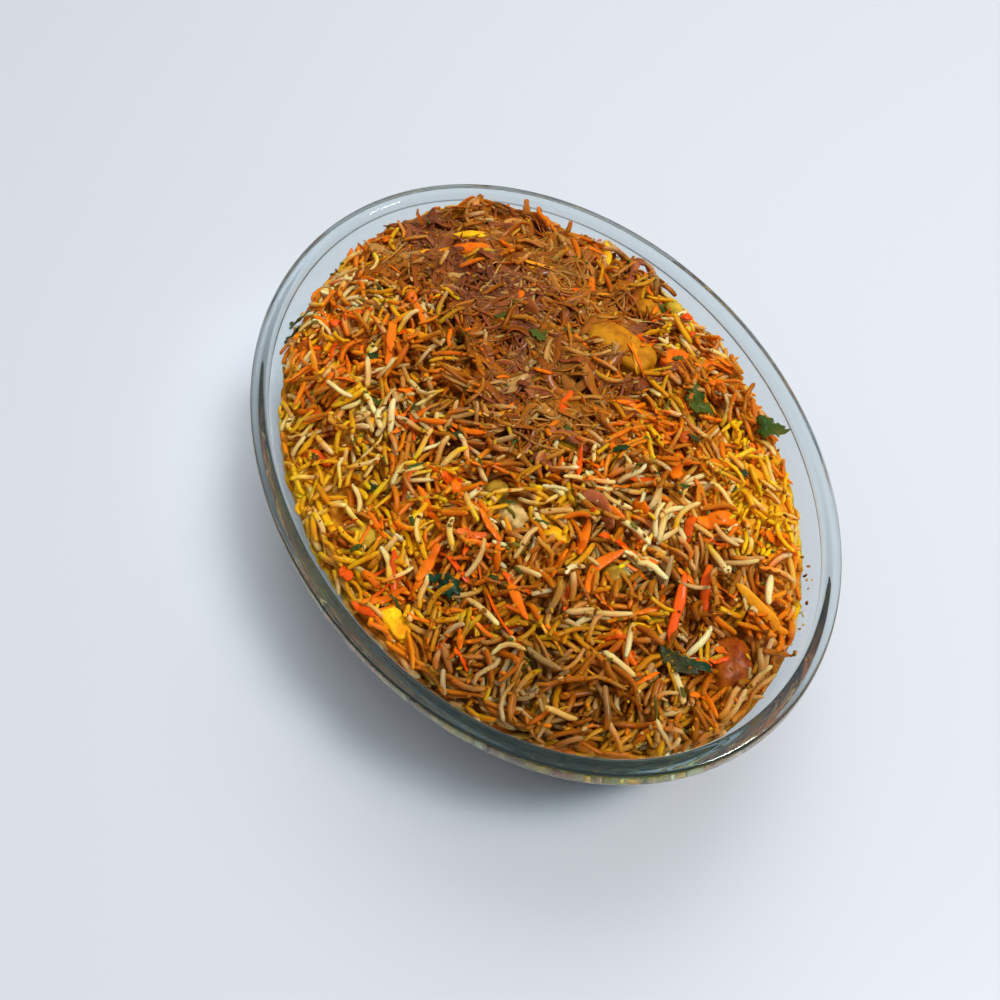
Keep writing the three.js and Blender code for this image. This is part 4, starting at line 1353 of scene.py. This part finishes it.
def crumbs(places):
    """Rings and tints of small stubs: four uneven rings along a short line at any bearing."""
    count = len(places)
    size = rng.uniform(0.22, 0.7, count)
    bearing, rise = rng.uniform(0, 2 * np.pi, count), rng.normal(0, 0.4, count)
    along = unit(np.stack([np.cos(bearing), np.sin(bearing), rise], -1))
    stretch = rng.uniform(0.9, 2.2, count)
    path = places[:, None] + along[:, None] * (
        np.array([-1, -0.5, 0.45, 1])[:, None] * (size * stretch)[:, None, None])
    half = size[:, None] * CRUMB_SHAPE * rng.uniform(0.7, 1.2, (count, 4))
    kinds = rng.choice(len(CRUMB_COLOURS), count, p=CRUMB_CHANCES)
    tints = CRUMB_COLOURS[kinds] * rng.uniform(0.8, 1.15, (count, 1))
    side = np.cross([0, 0, 1.0], along)[:, None]
    return carry(path, side, half, half * 0.8, 5), tints[:, None, None]


def crumb_places(number):
    """Random places on the heap, on top of everything laid so far."""
    out = EDGE_OUT - 1.5
    x, y = scatter(HALF_LENGTH + out, HALF_WIDTH + out, 1, number)
    bare = ~pile.shown[pile.cells(x, y)]
    return np.stack([x, y, pile.height(x, y) + 0.1], -1)[bare]


def glass_places(number):
    """Random places on the inner wall, between the rice and the bead."""
    angle, height = np.radians(rng.uniform(28, 49, number)), rng.uniform(47, 53, number)
    return on_oval(wall_out(height) - 0.3, angle, height)


crumb_finish = cooked("crumbs", bath=0.2, relief=0.1, rough=0.45, coat=0.0, soft=0.3, specks=0.2)
rings, tints = crumbs(np.concatenate([crumb_places(2200), glass_places(18)]))
add_piece("crumbs", rings, crumb_finish, tints)

# %% [markdown]
# ## Rice against the glass
#
# From the side and from below the rice is seen through the glass, pressed flat against it.
# Those grains are laid along the wall and the floor on an even grid with each place shifted at
# random. Near the rim the core is drawn back to make room for them. The glass darkens what lies
# behind it, so their colours are painted brighter than the others: painted light.


# %% Grains at the wall and the floor
# Painted light: grains behind the glass get colours this much brighter, for the light that the
# glass and the leaning wall keep from them.
PAINTED_LIGHT_BEHIND_GLASS = 1.9


def wall_grains(rows, columns):
    """Grains along the inner wall, from the floor up to the heap's edge."""
    floor_arc = corner(WALL_THICK, FLOOR_THICK, INNER_CORNER)
    lowest = FLOOR_THICK + 1.5
    for row in range(rows):
        for column in range(columns):
            bearing = 2 * np.pi * (column + rng.uniform(0, 1)) / columns
            top = edge_height(np.degrees(bearing)) - 0.6
            height = lowest + (row + rng.uniform(0, 1)) / rows * (top - lowest)
            out = np.interp(height, floor_arc[:, 1], floor_arc[:, 0], right=wall_out(height))
            middle = on_oval(out, bearing, height)
            outward = unit(np.array([np.cos(bearing) / (HALF_LENGTH + out),
                                     np.sin(bearing) / (HALF_WIDTH + out), 0]))
            lean = unit(outward - [0, 0, np.tan(WALL_FLARE)])
            level = np.array([-outward[1], outward[0], 0])
            upward = np.cross(lean, level)
            slant = rng.normal(0, 0.5) if rng.random() < 0.7 else rng.uniform(-1.4, 1.4)
            room = max(0.15, (min(top + 3, RIM - 9) - height) / 6)
            slant = np.clip(slant, -room, room)
            along = level * np.cos(slant) + upward * np.sin(slant)
            shares, bright = zone_shares(middle[0], middle[1])
            depth = 0.1 + 0.62 * np.clip((height - GAP_FROM) / 6, 0, 1)
            keep_grain(pick_kind(middle[0], middle[1], shares), middle - lean * depth, along,
                       GRAIN_HALF_LENGTH * rng.uniform(0.6, 0.95), PAINTED_LIGHT_BEHIND_GLASS * bright,
                       roll=np.pi / 2 - 0.35)


def floor_grains(step):
    """Grains on the glass floor, seen from below."""
    out = corner(WALL_THICK, FLOOR_THICK, INNER_CORNER)[0, 0] + 3
    for x in np.arange(-HALF_LENGTH, HALF_LENGTH, step):
        for y in np.arange(-HALF_WIDTH, HALF_WIDTH, step):
            px, py = x + rng.uniform(0, step), y + rng.uniform(0, step)
            if (px / (HALF_LENGTH + out)) ** 2 + (py / (HALF_WIDTH + out)) ** 2 > 1:
                continue
            bearing = rng.uniform(0, np.pi)
            along = np.array([np.cos(bearing), np.sin(bearing), 0.0])
            shares, bright = zone_shares(px, py)
            keep_grain(pick_kind(px, py, shares), np.array([px, py, FLOOR_THICK + 0.1]), along,
                       GRAIN_HALF_LENGTH * rng.uniform(0.7, 1.0), PAINTED_LIGHT_BEHIND_GLASS * bright,
                       roll=0.0)


wall_grains(14, 120)
floor_grains(4.8)

# %% Grain shapes
GRAIN_AT = np.array([-1, -0.88, -0.5, 0, 0.48, 0.87, 1])
GRAIN_SHAPE = np.array([0.4, 0.82, 0.98, 1, 0.96, 0.84, 0.36])


def grain_rings(kept):
    """Rings and tints of grains: ovals along a line with a bend, a sway and a hump."""
    def column(key):
        return np.array([grain[key] for grain in kept], float).reshape(len(kept), 1, -1)

    t = GRAIN_AT[None, :, None]
    along = column("along")
    level = unit(np.cross([0, 0, 1.0], along))
    path = column("middle") + along * t * column("half_length")
    path = path + level * (column("bend") * (0.4 - t**2) + column("sway") * t * (1 - t**2) * 2)
    path[..., 2:] += column("hump") * (0.3 - t**2)
    side = twist(path, np.repeat(column("roll")[..., 0], len(GRAIN_AT), 1))
    size = column("size")[..., 0] * GRAIN_SHAPE * rng.uniform(0.88, 1.12, path.shape[:2])
    rings = carry(path, side, GRAIN_HALF_WIDTH * size, GRAIN_HALF_THICK * size, 6)
    share = np.clip((t + 0.7) / 1.4, 0, 1)
    tints = column("first") * (1 - share) + column("second") * share
    tints = tints * rng.uniform(0.88, 1.08, path.shape[:2])[..., None]
    return rings, tints[:, :, None]


rice_finish = cooked("cooked_rice", bath=0.4, relief=0.08, rough=0.26, coat=0.12, soft=0.8,
                     specks=0.3, stain=0.45)
pale_finish = cooked("pale_rice", bath=0.12, relief=0.08, rough=0.26, coat=0.12, soft=0.8,
                     specks=0.15, stain=0.12)
for kind, kept in grains.items():
    rings, tints = grain_rings(kept)
    add_piece(f"rice_{kind}", rings, pale_finish if kind == "cream" else rice_finish,
              tints)
